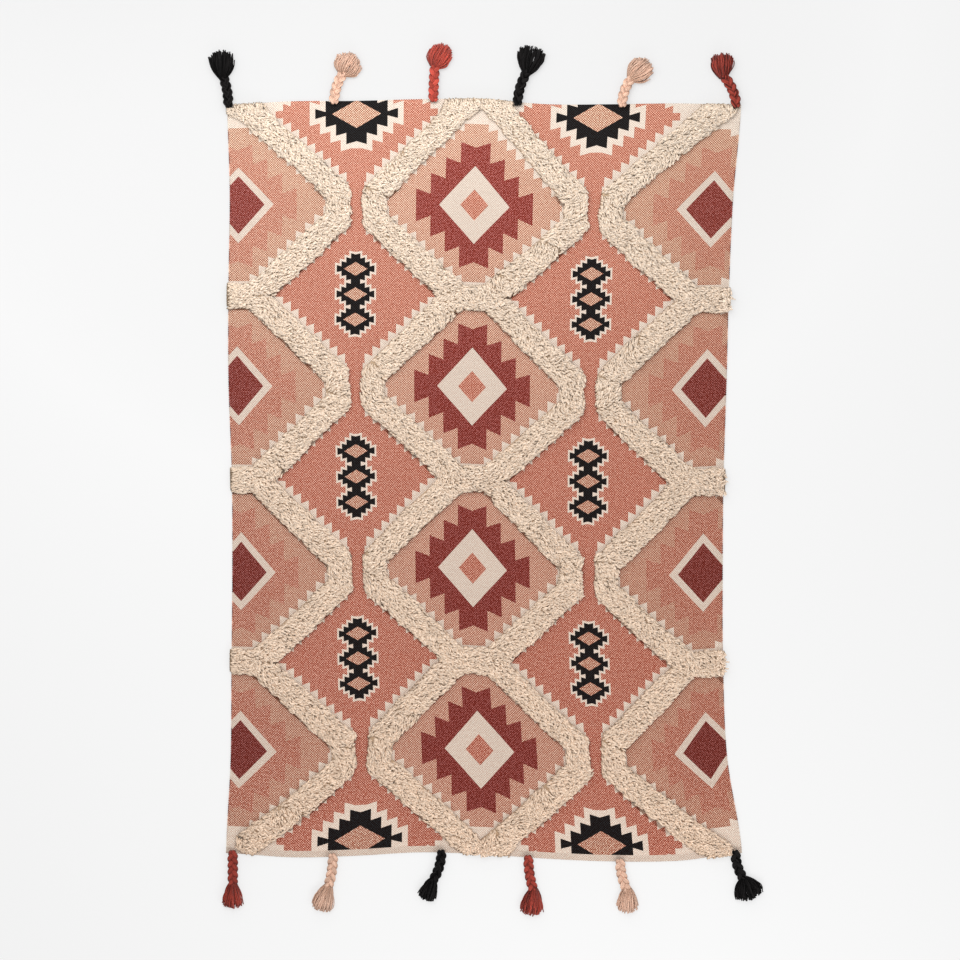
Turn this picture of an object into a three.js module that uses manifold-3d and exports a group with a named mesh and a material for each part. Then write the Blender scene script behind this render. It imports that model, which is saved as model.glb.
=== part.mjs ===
// Cotton rug: a flat-woven ground, four zigzag bands of tufted pile that draw a lattice of hexagons on it,
// and a row of plaited tassels along each end. Millimetres: X runs across, Y along, Z up from the floor.
// The origin is the middle of the cloth's underside.
import * as THREE from "three";
import { mergeVertices } from "three/addons/utils/BufferGeometryUtils.js";
import Module from "manifold-3d";

const wasm = await Module();
wasm.setup();

const PIECE_GAP = 0.3;

// The woven ground as the rectangle that comes off the loom.
const CLOTH = { width: 1195, length: 1806, thickness: 4, edgeSteps: 16 };

// How far the laid cloth's sides and middle lie to the right of that rectangle's, and how far its weave
// has slipped towards +Y at the two sides, one row for each eighth of the length from the far end to the near end.
const SIDE_DRIFT = [
  { left: -2, middle: 10, right: 28, leftSlip: 0, rightSlip: 0 },
  { left: 4, middle: 3, right: 9, leftSlip: 11, rightSlip: 0 },
  { left: 1, middle: 0, right: -1, leftSlip: 12, rightSlip: 4 },
  { left: 1, middle: -3, right: -7, leftSlip: 10, rightSlip: 6 },
  { left: 9, middle: -3, right: -14, leftSlip: 3, rightSlip: 0 },
  { left: 10, middle: -2, right: -16, leftSlip: -6, rightSlip: -7 },
  { left: 8, middle: 3, right: -15, leftSlip: 0, rightSlip: -3 },
  { left: 6, middle: 16, right: -5, leftSlip: 0, rightSlip: 4 },
  { left: -5, middle: 21, right: 30, leftSlip: 0, rightSlip: 0 },
];
const SLIP_START = 0.3;

// How far the two ends lie beyond the rectangle's towards +Y,
// one row for each eighth of the width from the left.
const END_DRIFT = [
  { far: -8, near: 10 },
  { far: 0, near: 0 },
  { far: 1, near: 4 },
  { far: 5, near: 12 },
  { far: 5, near: 6 },
  { far: -7, near: -4 },
  { far: -7, near: -10 },
  { far: -5, near: -8 },
  { far: -8, near: 10 },
];

// The lattice of hexagons: its middle column lies a little left of the cloth's centre line.
const LATTICE = { middle: -13, columnPitch: 564, rowPitch: 434, rows: 4, shift: -3 };

// A pile band, measured from the centre of the hexagon that it goes round.
// The arms at the rug's two ends run straight out to their points.
const BAND = {
  halfWidth: 30,
  height: 14,
  shoulder: 8,
  sideReach: 239,
  uprightHalf: 31,
  crossHalf: 39,
  farPoint: 255,
  nearPoint: 244,
  cornerRun: 28,
  overhang: 4,
  endOverhang: 2,
  armGap: 1.2,
  tasselGap: 1.5,
  stations: 10,
};
const LUMP = { height: 2.2, acrossWave: 5.3, alongWave: 6.1 };
const RIM_LOCK = {
  perSide: 2,
  rootWidth: 12,
  tipWidth: 6,
  rootIn: 10,
  reach: 9,
  rootHeight: 6,
  tipHeight: 3.5,
};

// Each band goes round one side of a column of hexagons; its end arms stop short of their points, or run on
// to the hem where that is below nothing. The points lie a little to the band's side of the column.
const BANDS = [
  { name: "left", column: -1, side: 1, farShort: 4, nearShort: 28, farAside: 4, nearAside: 0 },
  { name: "middle_left", column: 0, side: -1, farShort: -16, nearShort: 0, farAside: 14, nearAside: 12 },
  { name: "middle_right", column: 0, side: 1, farShort: -16, nearShort: 0, farAside: 30, nearAside: 4 },
  { name: "right", column: 1, side: -1, farShort: 0, nearShort: 0, farAside: -10, nearAside: 0 },
];

// A tassel: a three-strand plait that starts on the hem and opens into a tuft of cut yarn on the floor.
const PLAIT = {
  width: 22,
  height: 15,
  sides: 8,
  lobe: 14,
  lobeDepth: 0.13,
  stepsPerLobe: 2,
  endTaper: 0.72,
  hemLap: 7,
  hemClear: 5,
  fall: 14,
};
const TUFT = {
  floorLocks: 7,
  upperLocks: 6,
  fanBack: 14,
  rootIn: 4,
  rootWidth: 1.1,
  tipWidth: 7.5,
  height: 7,
  roundness: 0.2,
};
const TUFT_LAYERS = {
  floor: { rootBase: 0, tipBase: 0 },
  upper: { rootBase: 7.6, tipBase: 12 },
};

// Where each tassel starts across the end, how far its plait runs aside and out,
// how far its tuft runs on from there, and how wide the tuft is.
const TASSELS = {
  far: [
    { yarn: "black", root: -597, aside: -14, out: 69, tuftAside: -2, tuftOut: 58, tuftWidth: 64 },
    { yarn: "peach", root: -345, aside: 23, out: 68, tuftAside: 24, tuftOut: 42, tuftWidth: 68 },
    { yarn: "red", root: -108, aside: 4, out: 81, tuftAside: 27, tuftOut: 46, tuftWidth: 60 },
    { yarn: "black", root: 93, aside: 24, out: 74, tuftAside: 14, tuftOut: 58, tuftWidth: 68 },
    { yarn: "peach", root: 342, aside: 24, out: 63, tuftAside: 42, tuftOut: 36, tuftWidth: 62 },
    { yarn: "red", root: 614, aside: -31, out: 69, tuftAside: -4, tuftOut: 52, tuftWidth: 58 },
  ],
  near: [
    { yarn: "red", root: -587, aside: 0, out: 76, tuftAside: 1, tuftOut: 52, tuftWidth: 52 },
    { yarn: "peach", root: -348, aside: -12, out: 73, tuftAside: -20, tuftOut: 55, tuftWidth: 56 },
    { yarn: "black", root: -89, aside: -23, out: 69, tuftAside: -16, tuftOut: 43, tuftWidth: 46 },
    { yarn: "red", root: 118, aside: 13, out: 78, tuftAside: -7, tuftOut: 56, tuftWidth: 58 },
    { yarn: "peach", root: 337, aside: 18, out: 69, tuftAside: 0, tuftOut: 51, tuftWidth: 52 },
    { yarn: "black", root: 612, aside: 22, out: 64, tuftAside: 14, tuftOut: 46, tuftWidth: 72 },
  ],
};

const COTTON = { roughness: 0.95, metalness: 0 };
const MATERIALS = {
  ground: new THREE.MeshStandardMaterial({ name: "woven_ground", color: 0xd88d77, ...COTTON }),
  pile: new THREE.MeshStandardMaterial({ name: "pile_yarn", color: 0xe6d8c2, ...COTTON }),
  black: new THREE.MeshStandardMaterial({ name: "black_yarn", color: 0x1b1a1b, ...COTTON }),
  peach: new THREE.MeshStandardMaterial({ name: "peach_yarn", color: 0xe3b59b, ...COTTON }),
  red: new THREE.MeshStandardMaterial({ name: "red_yarn", color: 0xa93f35, ...COTTON }),
};

// Solids

// A closed skin over rings of points round a piece, each ring clockwise seen from the first one's side.
function loft(rings) {
  const sides = rings[0].length;
  const points = rings.flat();
  const faces = [];
  for (let ring = 0; ring + 1 < rings.length; ring++) {
    for (let side = 0; side < sides; side++) {
      const a = ring * sides + side;
      const b = ring * sides + ((side + 1) % sides);
      faces.push(a, b, b + sides, a, b + sides, a + sides);
    }
  }
  const lastRing = (rings.length - 1) * sides;
  for (let side = 1; side + 1 < sides; side++) {
    faces.push(0, side + 1, side, lastRing, lastRing + side, lastRing + side + 1);
  }
  const geometry = new THREE.BufferGeometry().setFromPoints(points);
  geometry.setIndex(faces);
  return geometry;
}

function solidOf(geometry) {
  const bare = geometry.clone();
  bare.deleteAttribute("normal");
  bare.deleteAttribute("uv");
  const merged = mergeVertices(bare);
  return new wasm.Manifold(
    new wasm.Mesh({
      numProp: 3,
      vertProperties: new Float32Array(merged.attributes.position.array),
      triVerts: new Uint32Array(merged.index.array),
    }),
  );
}

function geometryOf(solid) {
  const mesh = solid.getMesh();
  const geometry = new THREE.BufferGeometry();
  geometry.setAttribute("position", new THREE.BufferAttribute(mesh.vertProperties, 3));
  geometry.setIndex(new THREE.BufferAttribute(mesh.triVerts, 1));
  geometry.computeVertexNormals();
  return geometry;
}

function namedMesh(name, geometry, material) {
  const mesh = new THREE.Mesh(geometry, material);
  mesh.name = name;
  return mesh;
}

// Laying the cloth

function driftCurve(table, column) {
  return new THREE.SplineCurve(table.map((row, i) => new THREE.Vector2(i / (table.length - 1), row[column])));
}

const SIDES = {
  left: driftCurve(SIDE_DRIFT, "left"),
  middle: driftCurve(SIDE_DRIFT, "middle"),
  right: driftCurve(SIDE_DRIFT, "right"),
  leftSlip: driftCurve(SIDE_DRIFT, "leftSlip"),
  rightSlip: driftCurve(SIDE_DRIFT, "rightSlip"),
};
const ENDS = { far: driftCurve(END_DRIFT, "far"), near: driftCurve(END_DRIFT, "near") };

// Where a point of the flat rectangle lies once the cloth is on the floor.
function lay(across, along) {
  const p = across / (CLOTH.width / 2);
  const q = along / (CLOTH.length / 2);
  const fromFar = THREE.MathUtils.clamp((1 - q) / 2, 0, 1);
  const fromLeft = THREE.MathUtils.clamp((1 + p) / 2, 0, 1);
  const aside =
    (SIDES.left.getPoint(fromFar).y * p * (p - 1)) / 2 +
    SIDES.middle.getPoint(fromFar).y * (1 - p * p) +
    (SIDES.right.getPoint(fromFar).y * p * (p + 1)) / 2;
  const up = (ENDS.far.getPoint(fromLeft).y * (1 + q)) / 2 + (ENDS.near.getPoint(fromLeft).y * (1 - q)) / 2;
  const slipShare = (side) => THREE.MathUtils.clamp((side - SLIP_START) / (1 - SLIP_START), 0, 1);
  const slip =
    SIDES.leftSlip.getPoint(fromFar).y * slipShare(-p) + SIDES.rightSlip.getPoint(fromFar).y * slipShare(p);
  return new THREE.Vector2(across + aside, along + up + slip);
}

function layGeometry(geometry) {
  const position = geometry.attributes.position;
  for (let i = 0; i < position.count; i++) {
    const laid = lay(position.getX(i), position.getY(i));
    position.setXY(i, laid.x, laid.y);
  }
  geometry.computeVertexNormals();
  return geometry;
}

// Woven ground

function wovenGround() {
  const halfWidth = CLOTH.width / 2;
  const halfLength = CLOTH.length / 2;
  const corners = [
    [-halfWidth, -halfLength],
    [halfWidth, -halfLength],
    [halfWidth, halfLength],
    [-halfWidth, halfLength],
  ];
  const outline = corners.flatMap(([across, along], i) => {
    const [nextAcross, nextAlong] = corners[(i + 1) % corners.length];
    return Array.from({ length: CLOTH.edgeSteps }, (_, step) => {
      const share = step / CLOTH.edgeSteps;
      return lay(
        THREE.MathUtils.lerp(across, nextAcross, share),
        THREE.MathUtils.lerp(along, nextAlong, share),
      );
    });
  });
  return new THREE.ExtrudeGeometry(new THREE.Shape(outline), { depth: CLOTH.thickness, bevelEnabled: false });
}

// Pile bands

const PILE_BASE = CLOTH.thickness + PIECE_GAP;

function rowCentre(row) {
  return ((LATTICE.rows - 1) / 2 - row) * LATTICE.rowPitch;
}

function pileCentre(row) {
  return rowCentre(row) + LATTICE.shift;
}

function reachesEnd(row, way) {
  return row === (way > 0 ? 0 : LATTICE.rows - 1);
}

// The middle line of one arm of a band, on the flat rectangle: half an upright, a slope and half a crossing,
// or half an upright and a slope that runs out at the rug's end.
function armRoute(band, row, way) {
  const column = LATTICE.middle + band.column * LATTICE.columnPitch;
  const upright = column + band.side * BAND.sideReach;
  const centre = pileCentre(row);
  const crossing = centre + (way * LATTICE.rowPitch) / 2;
  const crossingEnd = band.column === 0 ? column : -band.side * (CLOTH.width / 2 + BAND.overhang);
  const shoulder = new THREE.Vector2(upright, centre + way * BAND.uprightHalf);
  const corners = [new THREE.Vector2(upright, centre), shoulder];
  if (reachesEnd(row, way)) {
    const point =
      way > 0
        ? new THREE.Vector2(column + band.side * band.farAside, centre + BAND.farPoint)
        : new THREE.Vector2(column + band.side * band.nearAside, centre - BAND.nearPoint);
    corners.push(point.lerp(shoulder, (way > 0 ? band.farShort : band.nearShort) / BAND.sideReach));
  } else {
    corners.push(new THREE.Vector2(column + band.side * BAND.crossHalf, crossing));
    corners.push(new THREE.Vector2(crossingEnd, crossing));
  }
  const route = new THREE.Path().moveTo(corners[0].x, corners[0].y);
  for (let i = 1; i + 1 < corners.length; i++) {
    const towards = (other) => corners[i].clone().lerp(other, BAND.cornerRun / corners[i].distanceTo(other));
    const before = towards(corners[i - 1]);
    const after = towards(corners[i + 1]);
    route.lineTo(before.x, before.y);
    route.quadraticCurveTo(corners[i].x, corners[i].y, after.x, after.y);
  }
  return route.lineTo(corners.at(-1).x, corners.at(-1).y);
}

function lump(across, along) {
  return LUMP.height * Math.sin(across / LUMP.acrossWave) * Math.cos(along / LUMP.alongWave);
}

// One ring of the lumpy slab: along the underside, then back over the crown. Shares are of the half width.
function slabRing(middle, normal) {
  const crownShares = [1, 0.55, 0, -0.55, -1];
  const at = (share, height) =>
    new THREE.Vector3(
      middle.x + normal.x * share * BAND.halfWidth,
      middle.y + normal.y * share * BAND.halfWidth,
      PILE_BASE + height,
    );
  const crown = crownShares.map((share) => {
    const point = at(share, Math.abs(share) === 1 ? BAND.shoulder : BAND.height);
    point.z += lump(point.x, point.y);
    return point;
  });
  return [at(-1, 0), at(1, 0), ...crown];
}

// A four-sided lock of yarn through sections, each with a middle on the plan, a base, a width and a height.
function lock(sections) {
  const aim = sections.at(-1).middle.clone().sub(sections[0].middle).normalize();
  const aside = new THREE.Vector2(-aim.y, aim.x);
  const rings = sections.map(({ middle, base, width, height }) => {
    const rim = (share, z) => {
      const point = middle.clone().addScaledVector(aside, share * width);
      return new THREE.Vector3(point.x, point.y, z);
    };
    return [rim(-0.5, base), rim(0.5, base), rim(0.5, base + height), rim(-0.5, base + height)];
  });
  return solidOf(loft(rings));
}

function rimLock(middle, outward) {
  const root = middle.clone().addScaledVector(outward, BAND.halfWidth - RIM_LOCK.rootIn);
  const tip = middle.clone().addScaledVector(outward, BAND.halfWidth + RIM_LOCK.reach);
  return lock([
    { middle: root, base: PILE_BASE, width: RIM_LOCK.rootWidth, height: RIM_LOCK.rootHeight },
    { middle: tip, base: PILE_BASE, width: RIM_LOCK.tipWidth, height: RIM_LOCK.tipHeight },
  ]);
}

// The part of the cloth that one arm has to itself, so that arms meet with a gap between them.
function armCell(band, row, way) {
  const column = LATTICE.middle + band.column * LATTICE.columnPitch;
  const outer = column + (band.side * LATTICE.columnPitch) / 2;
  const inner = band.column === 0 ? column + (band.side * BAND.armGap) / 2 : -band.side * CLOTH.width;
  const near = pileCentre(row) + (way * BAND.armGap) / 2;
  const crossing = pileCentre(row) + (way * (LATTICE.rowPitch - BAND.armGap)) / 2;
  const far = reachesEnd(row, way) ? way * (CLOTH.length / 2 + BAND.endOverhang) : crossing;
  const height = 4 * BAND.height;
  const box = new THREE.BoxGeometry(Math.abs(outer - inner), Math.abs(far - near), height);
  return solidOf(box.translate((outer + inner) / 2, (far + near) / 2, height / 2));
}

// Where a tassel starts on the laid cloth's end.
function tasselRoot(tassel, outward) {
  const across = THREE.MathUtils.clamp(tassel.root, -CLOTH.width / 2, CLOTH.width / 2);
  return new THREE.Vector2(tassel.root, lay(across, (outward * CLOTH.length) / 2).y);
}

// The room that a tassel's plait needs on the hem.
function tasselRoom(tassel, outward) {
  const half = (PLAIT.width / 2) * (1 + PLAIT.lobeDepth) + BAND.tasselGap;
  const inside = PLAIT.hemLap + BAND.tasselGap;
  const outside = 4 * BAND.endOverhang;
  const height = 4 * BAND.height;
  const root = tasselRoot(tassel, outward);
  const box = new THREE.BoxGeometry(2 * half, inside + outside, height);
  return solidOf(box.translate(root.x, root.y + (outward * (outside - inside)) / 2, height / 2));
}

function pileArm(band, row, way) {
  const route = armRoute(band, row, way);
  const points = Array.from({ length: BAND.stations + 1 }, (_, i) => route.getPointAt(i / BAND.stations));
  const normals = points.map((_, i) => {
    const tangent = route.getTangentAt(i / BAND.stations);
    return new THREE.Vector2(-tangent.y, tangent.x);
  });
  let pile = solidOf(loft(points.map((point, i) => slabRing(point, normals[i]))));
  for (let i = 0; i < RIM_LOCK.perSide; i++) {
    const station = Math.round((BAND.stations * (i + 1)) / (RIM_LOCK.perSide + 1));
    pile = pile.add(rimLock(points[station], normals[station]));
    pile = pile.add(rimLock(points[station + 1], normals[station + 1].clone().negate()));
  }
  const laid = layGeometry(geometryOf(pile.intersect(armCell(band, row, way))));
  if (!reachesEnd(row, way)) {
    return laid;
  }
  const rooms = TASSELS[way > 0 ? "far" : "near"].map((tassel) => tasselRoom(tassel, way));
  return geometryOf(rooms.reduce((solid, room) => solid.subtract(room), solidOf(laid)));
}

// Tassels, each in a frame with its root at the origin and +Y pointing out from the cloth's end

function plaitSolid(tassel) {
  const neck = new THREE.Vector2(tassel.aside, tassel.out);
  const start = new THREE.Vector2(0, -PLAIT.hemLap);
  const route = new THREE.QuadraticBezierCurve(start, new THREE.Vector2(0, tassel.out / 2), neck);
  const steps = Math.round((route.getLength() / PLAIT.lobe) * PLAIT.stepsPerLobe);
  const flatHalf = Math.cos(Math.PI / PLAIT.sides);
  const rings = Array.from({ length: steps + 1 }, (_, i) => {
    const middle = route.getPointAt(i / steps);
    const tangent = route.getTangentAt(i / steps);
    const lift = 1 - THREE.MathUtils.smoothstep(middle.y, PLAIT.hemClear, PLAIT.hemClear + PLAIT.fall);
    const taper = i === 0 || i === steps ? PLAIT.endTaper : 1;
    const phase = (2 * Math.PI * i) / PLAIT.stepsPerLobe;
    return Array.from({ length: PLAIT.sides }, (_, side) => {
      const turn = (2 * Math.PI * (side + 0.5)) / PLAIT.sides;
      const strand = (Math.sign(Math.cos(turn)) * Math.PI) / 2;
      const swell = taper * (1 + PLAIT.lobeDepth * Math.sin(phase + strand));
      const aside = (swell * PLAIT.width * Math.cos(turn)) / 2;
      const rise = Math.max(Math.sin(turn) * (turn < Math.PI ? swell : 1), -flatHalf);
      return new THREE.Vector3(
        middle.x - tangent.y * aside,
        middle.y + tangent.x * aside,
        lift * PILE_BASE + (PLAIT.height / 2) * (1 + rise / flatHalf),
      );
    });
  });
  return solidOf(loft(rings));
}

// One lock of the fan: share runs from -1 to 1 across it, and the locks near its middle are the longest.
function tuftLock(tassel, layer, share) {
  const axis = new THREE.Vector2(tassel.tuftAside, tassel.tuftOut);
  const length = axis.length() * (1 - TUFT.roundness * share ** 2);
  const spread = 2 * Math.asin(tassel.tuftWidth / 2 / (axis.length() + TUFT.fanBack));
  axis.normalize();
  const fanCentre = new THREE.Vector2(tassel.aside, tassel.out).addScaledVector(axis, -TUFT.fanBack);
  const aim = axis.clone().rotateAround(new THREE.Vector2(), (-share * spread) / 2);
  const at = (distance) => fanCentre.clone().addScaledVector(aim, distance);
  const rootAt = TUFT.fanBack - TUFT.rootIn;
  const tipAt = TUFT.fanBack + length;
  return lock([
    { middle: at(rootAt), base: layer.rootBase, width: TUFT.rootWidth, height: TUFT.height },
    { middle: at(tipAt), base: layer.tipBase, width: TUFT.tipWidth, height: TUFT.height },
  ]);
}

function tasselSolid(tassel) {
  let solid = plaitSolid(tassel);
  for (let i = 0; i < TUFT.floorLocks; i++) {
    solid = solid.add(tuftLock(tassel, TUFT_LAYERS.floor, (2 * i) / (TUFT.floorLocks - 1) - 1));
  }
  for (let i = 0; i < TUFT.upperLocks; i++) {
    solid = solid.add(tuftLock(tassel, TUFT_LAYERS.upper, (2 * i + 1) / TUFT.upperLocks - 1));
  }
  return solid;
}

// The rug

const rug = new THREE.Group();
rug.add(namedMesh("woven_ground", wovenGround(), MATERIALS.ground));

for (const band of BANDS) {
  for (let row = 0; row < LATTICE.rows; row++) {
    rug.add(namedMesh(`pile_${band.name}_${2 * row + 1}`, pileArm(band, row, 1), MATERIALS.pile));
    rug.add(namedMesh(`pile_${band.name}_${2 * row + 2}`, pileArm(band, row, -1), MATERIALS.pile));
  }
}

for (const [end, row] of Object.entries(TASSELS)) {
  const outward = end === "far" ? 1 : -1;
  row.forEach((tassel, i) => {
    const local = { ...tassel, aside: outward * tassel.aside, tuftAside: outward * tassel.tuftAside };
    const mesh = namedMesh(`tassel_${end}_${i + 1}`, geometryOf(tasselSolid(local)), MATERIALS[tassel.yarn]);
    const root = tasselRoot(tassel, outward);
    mesh.position.set(root.x, root.y, 0);
    mesh.rotation.z = outward > 0 ? 0 : Math.PI;
    rug.add(mesh);
  });
}

export default rug;
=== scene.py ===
"""A cotton rug on a pale floor: a patterned woven ground, bands of tufted pile and plaited tassels."""
import logging
import math
from dataclasses import dataclass
from enum import Enum
from typing import NamedTuple, Union

import bpy
import numpy as np
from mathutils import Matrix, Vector


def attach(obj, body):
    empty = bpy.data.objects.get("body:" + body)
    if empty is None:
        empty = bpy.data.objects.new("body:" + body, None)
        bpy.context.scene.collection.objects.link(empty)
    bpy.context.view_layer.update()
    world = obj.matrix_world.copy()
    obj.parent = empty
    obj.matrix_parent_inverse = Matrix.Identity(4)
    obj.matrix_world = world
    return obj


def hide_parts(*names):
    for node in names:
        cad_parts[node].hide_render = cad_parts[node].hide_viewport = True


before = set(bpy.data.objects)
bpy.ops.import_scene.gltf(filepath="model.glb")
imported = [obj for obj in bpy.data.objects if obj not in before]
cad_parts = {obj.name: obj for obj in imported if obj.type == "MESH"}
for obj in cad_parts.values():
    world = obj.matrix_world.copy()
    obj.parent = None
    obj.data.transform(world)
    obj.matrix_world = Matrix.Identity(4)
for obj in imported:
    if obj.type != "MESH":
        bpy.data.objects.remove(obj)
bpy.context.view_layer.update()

log = logging.getLogger("rug")

Array = np.ndarray
Colour = tuple[float, float, float, float]
Number = Union["Value", float]

MM = 0.001
TINY = 1e-9
UPRIGHT = np.array([0.0, 0.0, 1.0])
BODY = "root"


def dye(red: float, green: float, blue: float) -> Colour:
    """Gives a linear colour.

    Args:
        red: share of red light that the dye sends back, and so on.
        green: share of green light.
        blue: share of blue light.

    Returns:
        The colour with full opacity, as a socket takes it.
    """
    return (red, green, blue, 1.0)


class Dye:
    """The dyed yarns of the rug, in linear light."""

    SALMON = dye(0.454, 0.176, 0.124)
    BLUSH = dye(0.436, 0.185, 0.131)
    PEACH = dye(0.494, 0.261, 0.187)
    SAND = dye(0.468, 0.247, 0.174)
    MAROON = dye(0.209, 0.044, 0.036)
    WINE = dye(0.185, 0.042, 0.0345)
    CREAM = dye(0.585, 0.482, 0.400)
    MILK = dye(0.655, 0.545, 0.453)
    BLACK = dye(0.012, 0.0095, 0.0095)
    PLAIN = dye(1.0, 1.0, 1.0)
    NONE = dye(0.0, 0.0, 0.0)


# Laying the cloth


class SideDrift(NamedTuple):
    """How far, in millimetres, the cloth's sides and middle lie to the right of the flat rectangle's.

    The slips say how far the weave has slipped towards +Y at the two sides.
    """

    left: float
    middle: float
    right: float
    left_slip: float
    right_slip: float


class EndDrift(NamedTuple):
    """How far, in millimetres, the cloth's two ends lie beyond the flat rectangle's, towards +Y."""

    far: float
    near: float


SIDE_DRIFT = (
    SideDrift(left=-2, middle=10, right=28, left_slip=0, right_slip=0),
    SideDrift(left=4, middle=3, right=9, left_slip=11, right_slip=0),
    SideDrift(left=1, middle=0, right=-1, left_slip=12, right_slip=4),
    SideDrift(left=1, middle=-3, right=-7, left_slip=10, right_slip=6),
    SideDrift(left=9, middle=-3, right=-14, left_slip=3, right_slip=0),
    SideDrift(left=10, middle=-2, right=-16, left_slip=-6, right_slip=-7),
    SideDrift(left=8, middle=3, right=-15, left_slip=0, right_slip=-3),
    SideDrift(left=6, middle=16, right=-5, left_slip=0, right_slip=4),
    SideDrift(left=-5, middle=21, right=30, left_slip=0, right_slip=0),
)
END_DRIFT = (
    EndDrift(far=-8, near=10),
    EndDrift(far=0, near=0),
    EndDrift(far=1, near=4),
    EndDrift(far=5, near=12),
    EndDrift(far=5, near=6),
    EndDrift(far=-7, near=-4),
    EndDrift(far=-7, near=-10),
    EndDrift(far=-5, near=-8),
    EndDrift(far=-8, near=10),
)


class Swell(NamedTuple):
    """A soft rise where the cloth doesn't lie quite flat; places and sizes in metres, the turn in degrees."""

    across: float
    along: float
    turn: float
    length: float
    width: float
    height: float


SWELLS = (
    Swell(across=0.56, along=0.10, turn=80, length=0.20, width=0.035, height=0.0030),
    Swell(across=0.50, along=-0.62, turn=60, length=0.22, width=0.045, height=0.0035),
    Swell(across=0.57, along=-0.84, turn=35, length=0.14, width=0.040, height=0.0040),
    Swell(across=-0.56, along=0.30, turn=95, length=0.20, width=0.030, height=0.0025),
    Swell(across=-0.50, along=-0.82, turn=-30, length=0.16, width=0.040, height=0.0030),
    Swell(across=0.20, along=0.45, turn=20, length=0.24, width=0.050, height=0.0020),
)


def eased(rows: Array, share: Array) -> Array:
    """Reads a column of evenly spaced rows on a smooth curve through them.

    Args:
        rows: the column's values.
        share: places along the column, from 0 at the first row to 1 at the last.

    Returns:
        The value at each place.
    """
    place = np.clip(share, 0, 1) * (len(rows) - 1)
    row = np.minimum(place.astype(int), len(rows) - 2)
    step = place - row
    before = rows[np.maximum(row - 1, 0)]
    here = rows[row]
    there = rows[row + 1]
    after = rows[np.minimum(row + 2, len(rows) - 1)]
    slope_here = (there - before) / 2
    slope_there = (after - here) / 2
    bend = 2 * (here - there) + slope_here + slope_there
    swing = 3 * (there - here) - 2 * slope_here - slope_there
    return here + step * (slope_here + step * (swing + step * bend))


@dataclass(frozen=True)
class Laying:
    """The flat rectangle that the cloth was woven to, and how it lies on the floor."""

    width: float = 1.195
    length: float = 1.806
    thickness: float = 0.004
    slip_start: float = 0.3

    def plan(self, across: Array, along: Array) -> tuple[Array, Array]:
        """Gives where points of the flat rectangle lie on the floor.

        Args:
            across: places across the rectangle, from its centre line.
            along: places along it, from its middle.

        Returns:
            The places' X and Y.
        """
        p = across / (self.width / 2)
        q = along / (self.length / 2)
        sides = np.array(SIDE_DRIFT, float) * MM
        ends = np.array(END_DRIFT, float) * MM
        left, middle, right, left_slip, right_slip = (eased(column, (1 - q) / 2) for column in sides.T)
        far, near = (eased(column, (1 + p) / 2) for column in ends.T)
        aside = left * p * (p - 1) / 2 + middle * (1 - p * p) + right * p * (p + 1) / 2
        slip = left_slip * self.slip_share(-p) + right_slip * self.slip_share(p)
        return across + aside, along + far * (1 + q) / 2 + near * (1 - q) / 2 + slip

    def slip_share(self, side: Array) -> Array:
        """Gives how much of a side's slip reaches places that lie a share of the way out to it."""
        return np.clip((side - self.slip_start) / (1 - self.slip_start), 0, 1)

    def lift(self, across: Array, along: Array) -> Array:
        """Gives how far the cloth rises off the floor.

        Args:
            across: places across the flat rectangle, from its centre line.
            along: places along it, from its middle.

        Returns:
            The rise at each place.
        """
        height = np.zeros_like(np.asarray(across, float))
        for swell in SWELLS:
            turn = math.radians(swell.turn)
            run = (across - swell.across) * math.cos(turn) + (along - swell.along) * math.sin(turn)
            aside = (along - swell.along) * math.cos(turn) - (across - swell.across) * math.sin(turn)
            height += swell.height * np.exp(-((run / swell.length) ** 2) - (aside / swell.width) ** 2)
        return height


LAYING = Laying()


# Shader maths


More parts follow.
